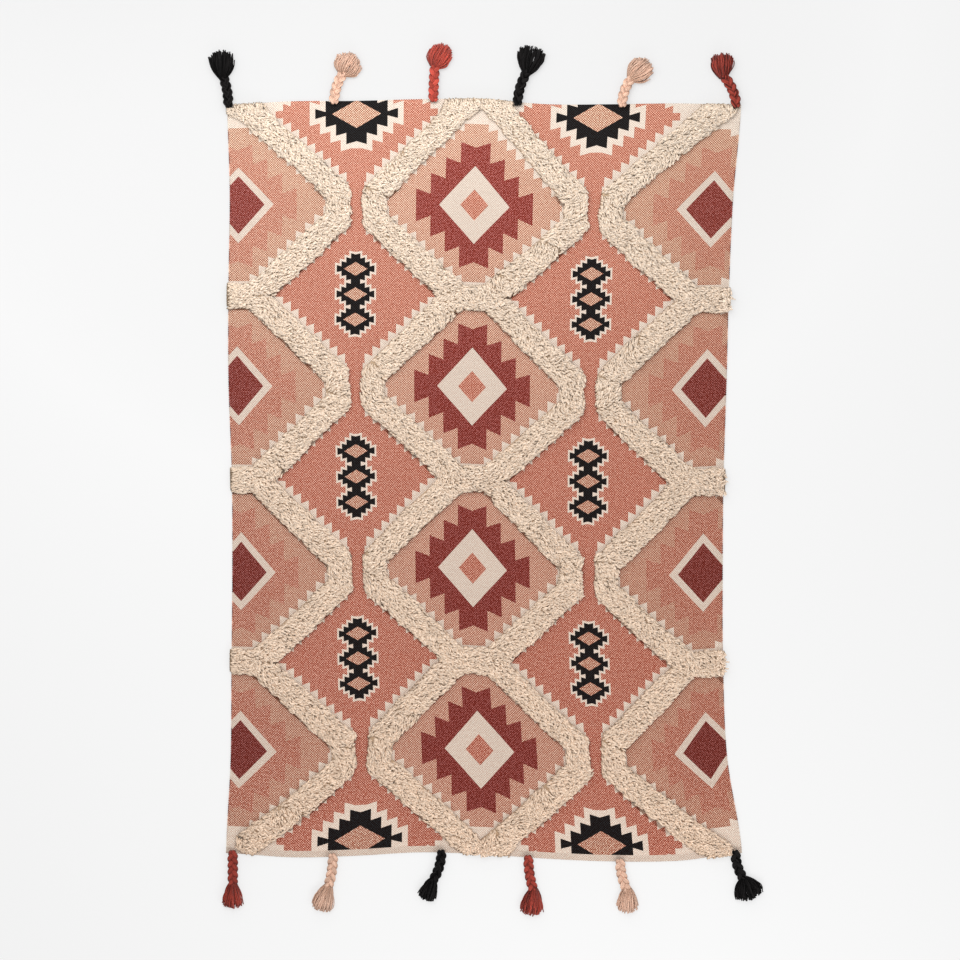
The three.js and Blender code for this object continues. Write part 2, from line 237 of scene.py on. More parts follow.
class Value:
    """A number on a shader socket; Python's operators add Math nodes for it."""

    def __init__(self, graph: "Graph", socket: bpy.types.NodeSocket) -> None:
        """Holds the socket and the graph that it belongs to."""
        self.graph = graph
        self.socket = socket

    def __add__(self, other: Number) -> "Value":
        """Adds."""
        return self.graph.math("ADD", self, other)

    def __radd__(self, other: float) -> "Value":
        """Adds to a plain number."""
        return self.graph.math("ADD", other, self)

    def __sub__(self, other: Number) -> "Value":
        """Subtracts."""
        return self.graph.math("SUBTRACT", self, other)

    def __rsub__(self, other: float) -> "Value":
        """Subtracts from a plain number."""
        return self.graph.math("SUBTRACT", other, self)

    def __mul__(self, other: Number) -> "Value":
        """Multiplies."""
        return self.graph.math("MULTIPLY", self, other)

    def __rmul__(self, other: float) -> "Value":
        """Multiplies a plain number."""
        return self.graph.math("MULTIPLY", other, self)

    def __truediv__(self, other: Number) -> "Value":
        """Divides."""
        return self.graph.math("DIVIDE", self, other)

    def __lt__(self, other: Number) -> "Value":
        """Gives 1 where this is less."""
        return self.graph.math("LESS_THAN", self, other)

    def __gt__(self, other: Number) -> "Value":
        """Gives 1 where this is more."""
        return self.graph.math("GREATER_THAN", self, other)

    def __and__(self, other: "Value") -> "Value":
        """Joins two masks: 1 where both are."""
        return self.graph.math("MULTIPLY", self, other)

    def __or__(self, other: "Value") -> "Value":
        """Joins two masks: 1 where either is."""
        return self.graph.math("MAXIMUM", self, other)

    def __invert__(self) -> "Value":
        """Turns a mask round."""
        return 1.0 - self

    def __abs__(self) -> "Value":
        """Gives the size without the sign."""
        return self.graph.math("ABSOLUTE", self)

    def floor(self) -> "Value":
        """Gives the whole number below."""
        return self.graph.math("FLOOR", self)

    def sine(self) -> "Value":
        """Gives the sine."""
        return self.graph.math("SINE", self)

    def least(self, other: Number) -> "Value":
        """Gives the smaller of two."""
        return self.graph.math("MINIMUM", self, other)

    def most(self, other: Number) -> "Value":
        """Gives the larger of two."""
        return self.graph.math("MAXIMUM", self, other)

    def folded(self, span: float) -> "Value":
        """Folds a run back and forth, so that it goes from 0 to the span and back."""
        return self.graph.math("PINGPONG", self, span)


class Graph:
    """A material's nodes."""

    MIX_INPUTS = (0, 6, 7)
    MIX_OUTPUT = 2

    def __init__(self, name: str) -> None:
        """Makes a new material with an empty node tree.

        Args:
            name: the material's name.
        """
        self.material = bpy.data.materials.new(name)
        self.material.use_nodes = True
        self.tree = self.material.node_tree
        self.tree.nodes.clear()

    def node(self, kind: str, settings: dict | None = None, inputs: dict | None = None) -> bpy.types.Node:
        """Adds a node.

        Args:
            kind: the node's type.
            settings: the node's own settings, set first.
            inputs: a value or a link for each socket, by name or place.

        Returns:
            The node.
        """
        node = self.tree.nodes.new(kind)
        for key, value in (settings or {}).items():
            setattr(node, key, value)
        for key, value in (inputs or {}).items():
            source = value.socket if isinstance(value, Value) else value
            if isinstance(source, bpy.types.NodeSocket):
                self.tree.links.new(source, node.inputs[key])
            else:
                node.inputs[key].default_value = source
        return node

    def math(self, operation: str, *terms: Number) -> Value:
        """Adds a Math node on the terms and gives its result."""
        node = self.node("ShaderNodeMath", {"operation": operation}, dict(enumerate(terms)))
        return Value(self, node.outputs[0])

    def mix(self, share: Number, first: object, second: object) -> bpy.types.NodeSocket:
        """Mixes two colours.

        Args:
            share: how much of the second one shows.
            first: the first colour, or its socket.
            second: the second colour, or its socket.

        Returns:
            The mixed colour's socket.
        """
        inputs = dict(zip(self.MIX_INPUTS, (share, first, second)))
        return self.node("ShaderNodeMix", {"data_type": "RGBA"}, inputs).outputs[self.MIX_OUTPUT]

    def times(self, colour: object, by: object) -> bpy.types.NodeSocket:
        """Multiplies a colour by another one, and gives the result's socket."""
        node = self.node("ShaderNodeVectorMath", {"operation": "MULTIPLY"}, {0: colour, 1: by})
        return node.outputs[0]

    def scaled(self, colour: object, by: Value) -> bpy.types.NodeSocket:
        """Multiplies a colour by a number, and gives the result's socket."""
        node = self.node("ShaderNodeVectorMath", {"operation": "SCALE"}, {0: colour, "Scale": by})
        return node.outputs[0]

    def place(self, across: Value, along: Value) -> bpy.types.NodeSocket:
        """Joins two numbers into a vector, and gives its socket."""
        return self.node("ShaderNodeCombineXYZ", None, {0: across, 1: along}).outputs[0]

    def noise(self, vector: object, scale: float, detail: float = 2.0) -> Value:
        """Adds soft noise on a vector, about 0 with a range of about half to either side."""
        node = self.node("ShaderNodeTexNoise", None, {"Vector": vector, "Scale": scale, "Detail": detail})
        return Value(self, node.outputs[0]) - 0.5

    def swung(
        self, colour: object, contrast: tuple[float, float, float], swing: Value
    ) -> bpy.types.NodeSocket:
        """Darkens and lightens a colour.

        Args:
            colour: the colour's socket.
            contrast: how far its red, green and blue go either way.
            swing: from -0.5, where it is darkest, to 0.5.

        Returns:
            The new colour's socket.
        """
        darkest = self.times(colour, tuple(1 - part for part in contrast))
        lightest = self.times(colour, tuple(1 + part for part in contrast))
        return self.mix(swing + 0.5, darkest, lightest)


@dataclass(frozen=True)
class Cotton:
    """A matt cotton surface: how deep its relief is, and how much light its loose fibres send back."""

    depth: float
    sheen: float
    roughness: float = 0.93
    gleam: float = 0.8
    sheen_roughness: float = 0.5

    def close(self, graph: Graph, colour: object, height: Value) -> bpy.types.Material:
        """Ends a graph in the surface.

        Args:
            graph: the material's graph.
            colour: the base colour's socket.
            height: the relief, about 0.

        Returns:
            The finished material.
        """
        bump = graph.node("ShaderNodeBump", None, {"Strength": 1.0, "Distance": self.depth, "Height": height})
        surface = graph.node(
            "ShaderNodeBsdfPrincipled",
            None,
            {
                "Base Color": colour,
                "Roughness": self.roughness,
                "Specular IOR Level": self.gleam * self.sheen,
                "Sheen Weight": self.sheen,
                "Sheen Roughness": self.sheen_roughness,
                "Normal": bump.outputs[0],
            },
        )
        graph.node("ShaderNodeOutputMaterial", None, {"Surface": surface.outputs[0]})
        return graph.material


# The woven pattern


@dataclass(frozen=True)
class Lattice:
    """The lattice of hexagons that the pile bands draw, on the flat rectangle."""

    middle: float = -0.013
    column_pitch: float = 0.564
    row_pitch: float = 0.434
    rows: int = 4
    side_reach: float = 0.239
    upright_half: float = 0.031
    cross_half: float = 0.039

    def row_centre(self, row: int) -> float:
        """Gives a row's place along the cloth, the first row at the far end."""
        return ((self.rows - 1) / 2 - row) * self.row_pitch


LATTICE = Lattice()


@dataclass(frozen=True)
class Steps:
    """A stepped outline: columns whose tops fall by a drop each and rise a little outwards."""

    column: float
    height: float
    drop: float
    rise: float
    columns: int
    start: float = 0.0

    def covers(self, across: Value, along: Value, spread: float = 0.0, lift: float = 0.0) -> Value:
        """Gives a mask of the inside.

        Args:
            across: distance from the motif's upright axis.
            along: distance from its level axis.
            spread: how much wider the outline is to either side.
            lift: how much taller it is.

        Returns:
            1 inside and 0 outside.
        """
        outward = (across - self.start - spread).most(0.0)
        share = outward / self.column
        step = share.floor()
        top = self.height + lift - step * self.drop + (share - step) * self.rise
        return (along < top) & (outward < self.column * self.columns)


@dataclass(frozen=True)
class Diamond:
    """A diamond, by its half width and half height."""

    half_width: float
    half_height: float

    def covers(self, across: Value, along: Value) -> Value:
        """Gives a mask of the inside."""
        return across / self.half_width + along / self.half_height < 1.0


class Motifs(NamedTuple):
    """The dyed areas' colour, masks of the undyed and of the deep yarn, and how unevenly the dye took."""

    colour: bpy.types.NodeSocket
    cream: Value
    deep: Value
    uneven: Value


@dataclass(frozen=True)
class WovenPattern:
    """The kilim pattern of the ground: hexagons of cream with medallions, and fields with stepped motifs."""

    hexagon: Steps = Steps(column=0.0187, height=0.2776, drop=0.0174, rise=0.007, columns=14, start=0.0155)
    hexagon_reach: float = 0.263
    junction: float = 0.109
    field_tip: tuple[float, float] = (0.0915, 0.009)
    window: Steps = Steps(column=0.0219, height=0.1917, drop=0.0206, rise=0.007, columns=10, start=0.0065)
    window_reach: float = 0.208
    window_top: float = 0.189
    medallion: Steps = Steps(column=0.0348, height=0.137, drop=0.037, rise=0.0133, columns=4)
    frame_diamond: Diamond = Diamond(0.084, 0.0932)
    middle_diamond: Diamond = Diamond(0.0336, 0.0374)
    side_diamond: Diamond = Diamond(0.062, 0.071)
    link: Steps = Steps(column=0.0113, height=0.0345, drop=0.0096, rise=0.0029, columns=4)
    link_pitch: float = 0.0605
    link_edge: tuple[float, float] = (0.0042, 0.0062)
    link_diamond: Diamond = Diamond(0.0284, 0.0164)
    crown: Steps = Steps(column=0.0243, height=0.066, drop=0.0203, rise=0.0072, columns=4)
    crown_edge: tuple[float, float] = (0.0131, 0.0172)
    crown_diamond: Diamond = Diamond(0.0576, 0.0339)
    far_hem: float = 0.9005
    near_hem: float = 0.8905
    shift: float = 0.003
    medallion_shift: float = -0.0045
    uneven: float = 0.50
    cream_uneven: float = -0.38
    window_uneven: float = -0.20
    deep_uneven: float = 0.70

    def motifs(self, graph: Graph, across: Value, cloth_along: Value) -> Motifs:
        """Draws the dyed areas.

        Args:
            graph: the material's graph.
            across: place across the flat cloth.
            cloth_along: place along it.

        Returns:
            The dyed areas.
        """
        half_column = LATTICE.column_pitch / 2
        half_row = LATTICE.row_pitch / 2
        centred = across - LATTICE.middle
        along = cloth_along - self.shift
        aside = centred.folded(half_column)
        above = (along - half_row).folded(half_row)
        field_aside = half_column - aside
        field_above = half_row - above
        is_middle = abs(centred) < half_column
        is_end = abs(along) > LATTICE.row_centre(0)
        is_inside = abs(along) < LATTICE.row_centre(0) + half_row

        hexagon = self.hexagon.covers(aside, above) & (aside < self.hexagon_reach)
        tip_start, tip_half = self.field_tip
        hexagon = (hexagon | (aside < self.junction)) & ~((aside > tip_start) & (field_above < tip_half))
        window = self.window.covers(aside, above) & (aside < self.window_reach)
        window = window & (above < self.window_top) & is_inside
        height = (along - half_row - self.medallion_shift).folded(half_row)
        medallion = self.medallion.covers(aside, height)
        frame_diamond = self.frame_diamond.covers(aside, height)
        core_middle = self.middle_diamond.covers(aside, height) & is_middle
        core_side = self.side_diamond.covers(aside, height) & ~is_middle

        link_above = field_above.least(abs(field_above - self.link_pitch))
        link = self.link.covers(field_aside, link_above) & ~is_end
        link_edge = self.link.covers(field_aside, link_above, *self.link_edge) & ~is_end
        link_core = self.link_diamond.covers(field_aside, link_above) & ~is_end
        crown = self.crown.covers(field_aside, field_above) & is_end
        crown_edge = self.crown.covers(field_aside, field_above, *self.crown_edge) & is_end
        crown_core = self.crown_diamond.covers(field_aside, field_above) & is_end

        hem = (along > self.far_hem) | (along < -self.near_hem)
        dark = link | crown
        edge = (link_edge | crown_edge) & ~dark
        colour = graph.mix(edge, Dye.SALMON, Dye.MILK)
        colour = graph.mix(dark, colour, Dye.BLACK)
        colour = graph.mix(link_core | crown_core, colour, Dye.SAND)
        colour = graph.mix(hexagon, colour, Dye.MILK)
        colour = graph.mix(window & is_middle, colour, Dye.PEACH)
        colour = graph.mix(window & ~is_middle, colour, Dye.SAND)
        colour = graph.mix(medallion & is_middle, colour, Dye.MAROON)
        colour = graph.mix(medallion & ~is_middle, colour, Dye.BLUSH)
        colour = graph.mix(frame_diamond, colour, Dye.CREAM)
        colour = graph.mix(core_middle, colour, Dye.SALMON)
        colour = graph.mix(core_side, colour, Dye.WINE)
        colour = graph.mix(hem, colour, Dye.CREAM)
        cream = (hexagon & ~window) | (frame_diamond & ~core_middle & ~core_side) | hem | edge
        deep = (medallion & is_middle & ~frame_diamond) | core_side
        uneven = self.uneven + cream * self.cream_uneven + deep * self.deep_uneven
        uneven = uneven + (window & ~medallion) * self.window_uneven
        return Motifs(colour, cream, deep, uneven)


@dataclass(frozen=True)
class PaintedPileShadow:
    """Painted shadow: dark lines painted on the cloth along the pile's edges that face the near end, where
    the pile shades it.

    Attributes:
        shift: how far the pile lies from the lattice, towards +Y.
        start: where a line starts, out from the pile's middle line.
        end: where it ends.
        wander: how far it wanders.
        wander_scale: how finely it wanders.
        gap_scale: how fine the gaps in it are.
        gap_contrast: how sharp they are.
        fullness: how full the line is between them.
        far_end: the last place along the cloth that has lines.
        near_end: the first one.
        strength: how strong the lines are.
        shade: what they leave of a colour at full strength.
    """

    shift: float = -0.003
    start: float = 0.024
    end: float = 0.0355
    wander: float = 0.006
    wander_scale: float = 48.0
    gap_scale: float = 20.0
    gap_contrast: float = 3.0
    fullness: float = 0.65
    far_end: float = 0.690
    near_end: float = -0.840
    strength: float = 0.85
    shade: Colour = dye(0.26, 0.17, 0.12)

    def draw(self, graph: Graph, across: Value, along: Value) -> bpy.types.NodeSocket:
        """Gives what the lines leave of the cloth's colour.

        Args:
            graph: the material's graph.
            across: place across the flat cloth.
            along: place along it.

        Returns:
            A colour's socket, to multiply the cloth's colour by.
        """
        half_row = LATTICE.row_pitch / 2
        run = (LATTICE.side_reach - LATTICE.cross_half, half_row - LATTICE.upright_half)
        aside = (across - LATTICE.middle).folded(LATTICE.column_pitch / 2)
        row = (along - self.shift) / LATTICE.row_pitch + LATTICE.rows / 2
        height = row - row.floor() - 0.5
        above = abs(height) * LATTICE.row_pitch
        outside = (aside - LATTICE.side_reach) * run[1] + (above - LATTICE.upright_half) * run[0]
        outside = (outside / math.hypot(*run)).most(above - half_row)
        place = graph.place(across, along)
        near_facing = 1.0 - 2.0 * (height > 0.0)
        facing = outside * near_facing + graph.noise(place, self.wander_scale) * self.wander
        depth = graph.noise(place, self.gap_scale) * self.gap_contrast + self.fullness
        between = (aside < LATTICE.side_reach) & (along < self.far_end) & (along > self.near_end)
        line = (facing > self.start) & (facing < self.end) & between & depth.least(1.0).most(0.0)
        # Painted shadow: the lines darken the cloth's colour towards the shade colour.
        return graph.mix(line * self.strength, Dye.PLAIN, self.shade)


@dataclass(frozen=True)
class Weave:
    """Threads that pass over and under each other, in unevenly taken dye, lit from the far end.

    Attributes:
        thread: a thread's width.
        crossing: how sharply a thread turns from under to over.
        crossing_fleck: how uneven the crossings are.
        cream_calm: how much less the undyed threads differ.
        thread_contrast: how far the crossings change a colour's red, green and blue.
        fleck_scale: how fine the flecks are.
        streak_scale: how fine the streaks are across and along.
        streak: how strong they are.
        cloud_scale: how fine the wide clouds are.
        cloud: how strong they are.
        speck_scale: how fine the specks of dye are.
        speck: how sharp they are.
        near_speck: how strong they are at the near end.
        far_speck: how strong they are at the far end.
        dye_contrast: how far the specks change a colour's red, green and blue.
        near_dyed: the light on dyed yarn at the near end.
        far_dyed: the light on it at the far end.
        far_deep: the light on deep dyes at the far end.
        left_dyed: the light on dyed yarn at the left side.
        right_dyed: the light on it at the right side.
        near_cream: the light on undyed yarn at the near end.
        far_cream: the light on it at the far end.
        relief: how high the crossings stand.
        fleck_relief: how high the flecks stand.
        surface: the cotton's surface.
    """

    thread: float = 0.00285
    crossing: float = 1.8
    crossing_fleck: float = 0.9
    cream_calm: float = 0.72
    thread_contrast: tuple[float, float, float] = (0.67, 0.91, 0.96)
    fleck_scale: float = 260.0
    streak_scale: tuple[float, float] = (14.0, 330.0)
    streak: float = 0.16
    cloud_scale: float = 9.0
    cloud: float = 0.10
    speck_scale: float = 310.0
    speck: float = 3.0
    near_speck: float = 1.75
    far_speck: float = 0.85
    dye_contrast: tuple[float, float, float] = (0.33, 0.63, 0.72)
    near_dyed: Colour = dye(0.88, 0.865, 0.865)
    far_dyed: Colour = dye(1.10, 1.26, 1.26)
    far_deep: Colour = dye(1.32, 1.50, 1.50)
    left_dyed: Colour = dye(1.02, 1.03, 1.04)
    right_dyed: Colour = dye(0.985, 0.945, 0.93)
    near_cream: Colour = dye(0.975, 0.945, 0.94)
    far_cream: Colour = dye(1.03, 1.05, 1.07)
    relief: float = 0.5
    fleck_relief: float = 0.6
    surface: Cotton = Cotton(depth=0.0009, sheen=0.05)

    def material(self) -> bpy.types.Material:
        """Makes the cloth's material on its own UV map.

        Returns:
            The material.
        """
        graph = Graph("woven_pattern")
        uv = graph.node("ShaderNodeUVMap", {"uv_map": "UVMap"})
        parts = graph.node("ShaderNodeSeparateXYZ", None, {0: uv.outputs[0]})
        across = (Value(graph, parts.outputs[0]) - 0.5) * LAYING.width
        along = (Value(graph, parts.outputs[1]) - 0.5) * LAYING.length
        motifs = WovenPattern().motifs(graph, across, along)
        place = graph.place(across, along)
        wave = math.pi / self.thread
        over = (across * wave).sine() * (along * wave).sine()
        fleck = graph.noise(place, self.fleck_scale)
        crossing = (over * self.crossing + fleck * self.crossing_fleck).least(0.5).most(-0.5)
        crossing = crossing * (1.0 - motifs.cream * self.cream_calm)
        colour = graph.swung(motifs.colour, self.thread_contrast, crossing)
        share = along / LAYING.length + 0.5
        speck = (graph.noise(place, self.speck_scale, detail=0.0) * self.speck).least(0.5).most(-0.5)
        taken = speck * motifs.uneven * (self.near_speck - share * (self.near_speck - self.far_speck))
        colour = graph.swung(colour, self.dye_contrast, taken)
        colour = graph.times(colour, self.light(graph, motifs, across, share))
        # Painted shadow: dark lines along the pile's edges that face the near end.
        colour = graph.times(colour, PaintedPileShadow().draw(graph, across, along))
        stretch = graph.place(across * self.streak_scale[0], along * self.streak_scale[1])
        streak = graph.noise(stretch, 1.0) * self.streak
        bright = 1.0 + streak + graph.noise(place, self.cloud_scale) * self.cloud
        height = over * self.relief + fleck * self.fleck_relief
        return self.surface.close(graph, graph.scaled(colour, bright), height)

    def light(self, graph: Graph, motifs: Motifs, across: Value, share: Value) -> bpy.types.NodeSocket:
        """Gives how the light changes the yarns' colours over the rug.

        Args:
            graph: the material's graph.
            motifs: the dyed areas.
            across: place across the flat cloth.
            share: share of the way from the near end to the far one.

        Returns:
            A colour's socket, to multiply the cloth's colour by.
        """
        square = share * share
        far = graph.mix(motifs.deep, self.far_dyed, self.far_deep)
        aside = graph.mix(across / LAYING.width + 0.5, self.left_dyed, self.right_dyed)
        dyed = graph.times(graph.mix(square, self.near_dyed, far), aside)
        cream = graph.mix(square, self.near_cream, self.far_cream)
        return graph.mix(motifs.cream, dyed, cream)


# Joined meshes of yarn


@dataclass
class Skin:
    """Points, faces and painted values of many yarns that become one mesh; rise is painted shade, low where a
    yarn lies in shade, and tone is a random lightness.
    """

    points: Array
    faces: list[Array]
    rise: Array
    tone: Array

    @staticmethod
    def joined(skins: list["Skin"]) -> "Skin":
        """Joins several skins into one.

        Args:
            skins: the skins, in order.

        Returns:
            The joined skin.
        """
        starts = np.cumsum([0] + [len(skin.points) for skin in skins[:-1]])
        return Skin(
            np.concatenate([skin.points for skin in skins]),
            [faces + start for skin, start in zip(skins, starts) for faces in skin.faces],
            np.concatenate([skin.rise for skin in skins]),
            np.concatenate([skin.tone for skin in skins]),
        )

    def piece(self, name: str) -> bpy.types.Object:
        """Makes the object.

        Args:
            name: the piece's name.

        Returns:
            The object, smooth and with its painted values as attributes.
        """
        mesh = bpy.data.meshes.new(name)
        corners = np.concatenate([faces.ravel() for faces in self.faces])
        counts = np.concatenate([np.full(len(faces), faces.shape[1]) for faces in self.faces])
        mesh.vertices.add(len(self.points))
        mesh.vertices.foreach_set("co", self.points.astype(np.float32).ravel())
        mesh.loops.add(len(corners))
        mesh.loops.foreach_set("vertex_index", corners.astype(np.int32))
        mesh.polygons.add(len(counts))
        mesh.polygons.foreach_set("loop_start", (np.cumsum(counts) - counts).astype(np.int32))
        mesh.update(calc_edges=True)
        mesh.polygons.foreach_set("use_smooth", np.ones(len(counts), dtype=bool))
        for attribute, values in (("rise", self.rise), ("tone", self.tone)):
            layer = mesh.attributes.new(attribute, "FLOAT", "POINT")
            layer.data.foreach_set("value", values.astype(np.float32))
        piece = bpy.data.objects.new(name, mesh)
        bpy.context.collection.objects.link(piece)
        return piece


def unit(vectors: Array) -> Array:
    """Gives the vectors at length 1."""
    return vectors / np.maximum(np.linalg.norm(vectors, axis=-1, keepdims=True), TINY)


def loft(rings: Array, tone: Array) -> Skin:
    """Closes rings of points into tubes.

    Args:
        rings: points by tube, station, side and X, Y, Z; each ring goes round its tube's way to the left.
        tone: a painted value for each tube.

    Returns:
        The tubes as one skin.
    """
    tubes, stations, sides, _ = rings.shape
    index = np.arange(tubes * stations * sides).reshape(tubes, stations, sides)
    following = np.roll(index, -1, axis=2)
    quads = np.stack([index[:, :-1], following[:, :-1], following[:, 1:], index[:, 1:]], axis=-1)
    caps = np.concatenate([index[:, 0, ::-1], index[:, -1]])
    # Rise runs from 0 at a tube's start to 1 at its end; the finishes paint the start darker as painted
    # shade.
    rise = np.broadcast_to(np.linspace(0, 1, stations)[None, :, None], index.shape)
    tones = np.broadcast_to(tone[:, None, None], index.shape)
    return Skin(rings.reshape(-1, 3), [quads.reshape(-1, 4), caps], rise.ravel(), tones.ravel())


def yarns(paths: Array, radii: Array, sides: int, reference: Array, tone: Array) -> Skin:
    """Makes closed round yarns along paths.

    Args:
        paths: the yarns' middle lines, by yarn, station and X, Y, Z.
        radii: the radius at each yarn's stations.
        sides: how many sides a yarn has.
        reference: a direction for each yarn that its path never takes.
        tone: a painted value for each yarn.

    Returns:
        The yarns as one skin.
    """
    tangent = unit(np.gradient(paths, axis=1))
    side = unit(np.cross(reference[:, None, :], tangent))
    up = np.cross(tangent, side)
    turn = 2 * math.pi * np.arange(sides) / sides
    ring = side[:, :, None, :] * np.cos(turn)[:, None] + up[:, :, None, :] * np.sin(turn)[:, None]
    return loft(paths[:, :, None, :] + ring * radii[:, :, None, None], tone)


@dataclass(frozen=True)
class YarnFinish:
    """Cotton yarn painted darker towards its root as painted shade, with some yarns lighter than others.

    Attributes:
        name: the material's name.
        root: the colour at a yarn's root, a painted shade colour.
        tip: the colour at its lit tip.
        spread: how much lighter or darker single yarns are.
        sheen: how much light the loose fibres send back.
        fibre_scale: how fine the fibres are.
        fibre_detail: how many finer steps they have.
        fibre: how much they change the colour.
        relief: how deep they are.
        near: the light at the near end.
        far: the light at the far end.
    """

    name: str
    root: Colour
    tip: Colour
    spread: float
    sheen: float = 0.10
    fibre_scale: float = 1400.0
    fibre_detail: float = 3.0
    fibre: float = 0.30
    relief: float = 0.0005
    near: Colour = Dye.PLAIN
    far: Colour = Dye.PLAIN

    def material(self) -> bpy.types.Material:
        """Makes the material, which reads the yarns' painted values.

        Returns:
            The material.
        """
        graph = Graph(self.name)
        rise = Value(graph, graph.node("ShaderNodeAttribute", {"attribute_name": "rise"}).outputs["Fac"])
        tone = Value(graph, graph.node("ShaderNodeAttribute", {"attribute_name": "tone"}).outputs["Fac"])
        place = graph.node("ShaderNodeTexCoord").outputs["Object"]
        fibre = graph.noise(place, self.fibre_scale, self.fibre_detail)
        along = Value(graph, graph.node("ShaderNodeSeparateXYZ", None, {0: place}).outputs["Y"])
        share = (along / LAYING.length + 0.5).most(0.0).least(1.0)
        # Painted shade: the colour runs from the darker root colour, in shade, to the lit tip colour.
        colour = graph.mix(rise.least(1.0), self.root, self.tip)
        colour = graph.times(colour, graph.mix(share, self.near, self.far))
        shaded = graph.scaled(colour, 1.0 + tone * self.spread + fibre * self.fibre)
        return Cotton(self.relief, self.sheen).close(graph, shaded, fibre)


# Pieces


@dataclass
class WovenGround:
    """The flat-woven cloth with its selvedges.

    Attributes:
        cells_across: the grid's cells across the cloth.
        cells_along: its cells along the cloth.
        edge_round: how far the edges are rounded.
        edge_steps: the rounding's steps.
        smooth_angle: the greatest angle, in degrees, that is shaded smooth.
        turn_pitch: the distance from one turn of the weft to the next.
        turn_half: half of a turn's width, length and height.
        turn_sides: a turn's sides.
        turn_rings: a turn's rings.
    """

    cells_across: int = 64
    cells_along: int = 96
    edge_round: float = 0.0012
    edge_steps: int = 2
    smooth_angle: float = 50.0
    turn_pitch: float = 0.0052
    turn_half: tuple[float, float, float] = (0.0021, 0.0027, 0.0021)
    turn_sides: int = 6
    turn_rings: int = 4

    def build(self) -> bpy.types.Object:
        """Lays the cloth: a grid on the flat rectangle, laid on the floor and given its thickness.

        Returns:
            The cloth.
        """
        bpy.ops.object.select_all(action="DESELECT")
        bpy.ops.mesh.primitive_grid_add(
            x_subdivisions=self.cells_across, y_subdivisions=self.cells_along, size=1.0
        )
        cloth = bpy.context.object
        cloth.name = "woven_cloth"
        points = np.empty(3 * len(cloth.data.vertices), np.float32)
        cloth.data.vertices.foreach_get("co", points)
        shares = points.reshape(-1, 3).astype(float)
        across = shares[:, 0] * LAYING.width
        along = shares[:, 1] * LAYING.length
        x, y = LAYING.plan(across, along)
        z = LAYING.thickness + LAYING.lift(across, along)
        cloth.data.vertices.foreach_set("co", np.stack([x, y, z], axis=-1).astype(np.float32).ravel())
        cloth.data.update()
        solidify = cloth.modifiers.new("thickness", "SOLIDIFY")
        solidify.thickness = LAYING.thickness
        solidify.offset = -1.0
        bevel = cloth.modifiers.new("edge", "BEVEL")
        bevel.width = self.edge_round
        bevel.segments = self.edge_steps
        bevel.limit_method = "ANGLE"
        for modifier in ("thickness", "edge"):
            bpy.ops.object.modifier_apply(modifier=modifier)
        bpy.ops.object.shade_smooth_by_angle(angle=math.radians(self.smooth_angle))
        return cloth

    def build_selvedges(self) -> bpy.types.Object:
        """Makes the weft's turns along the two long sides, with the pattern's colours on their UV map.

        Returns:
            The turns as one piece.
        """
        count = int(LAYING.length / self.turn_pitch)
        along = (np.arange(count) + 0.5) / count - 0.5
        share = np.concatenate([np.full(count, -0.5), np.full(count, 0.5)])
        along = np.concatenate([along, along])
        x, y = LAYING.plan(share * LAYING.width, along * LAYING.length)
        z = LAYING.thickness / 2 + LAYING.lift(share * LAYING.width, along * LAYING.length)
        middle = np.stack([x, y, z], axis=-1)
        bpy.ops.object.select_all(action="DESELECT")
        bpy.ops.mesh.primitive_uv_sphere_add(segments=self.turn_sides, ring_count=self.turn_rings, radius=1.0)
        turn = bpy.context.object
        ball = np.array([vertex.co[:] for vertex in turn.data.vertices]) * self.turn_half
        faces = sorted(tuple(polygon.vertices) for polygon in turn.data.polygons)
        bpy.data.objects.remove(turn)
        points = (middle[:, None, :] + ball[None]).reshape(-1, 3)
        mesh = bpy.data.meshes.new("selvedges")
        mesh.from_pydata(
            points.tolist(),
            [],
            [tuple(corner + i * len(ball) for corner in face) for i in range(len(middle)) for face in faces],
        )
        layer = mesh.uv_layers.new(name="UVMap")
        corners = np.empty(len(mesh.loops), np.int32)
        mesh.loops.foreach_get("vertex_index", corners)
        which = corners // len(ball)
        inset = share * (1 - 2 * self.turn_half[0] / LAYING.width) + 0.5
        places = np.stack([inset[which], along[which] + 0.5], axis=-1)
        layer.data.foreach_set("uv", places.astype(np.float32).ravel())
        mesh.polygons.foreach_set("use_smooth", np.ones(len(mesh.polygons), dtype=bool))
        piece = bpy.data.objects.new("selvedges", mesh)
        bpy.context.collection.objects.link(piece)
        return piece

    def dress(self, *pieces: bpy.types.Object) -> None:
        """Gives the pieces the woven pattern.

        Args:
            pieces: the cloth and its selvedges.
        """
        material = Weave().material()
        for piece in pieces:
            piece.data.materials.clear()
            piece.data.materials.append(material)
            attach(piece, BODY)
            log.info("%s: %d faces", piece.name, len(piece.data.polygons))


@dataclass(frozen=True)
class Wave:
    """A wave over the cloth whose crests bend to and fro: its pitches across and along, and its bends'."""

    across: float = 0.0
    along: float = 0.0
    start: float = 0.0
    bend: float = 0.0
    bend_across: float = 0.0
    bend_along: float = 0.0
    bend_start: float = 0.0

    def height(self, x: Array, y: Array) -> Array:
        """Gives the wave's height, from -1 to 1."""
        bent = self.bend * np.sin(self.bend_across * x + self.bend_along * y + self.bend_start)
        return np.sin(self.across * x + self.along * y + self.start + bent)


WAVES = (
    Wave(across=1.0, bend=1.7, bend_along=0.8),
    Wave(along=1.1, bend=1.9, bend_across=0.7, bend_start=1.3),
    Wave(across=0.9, along=-1.2, start=0.6),
)


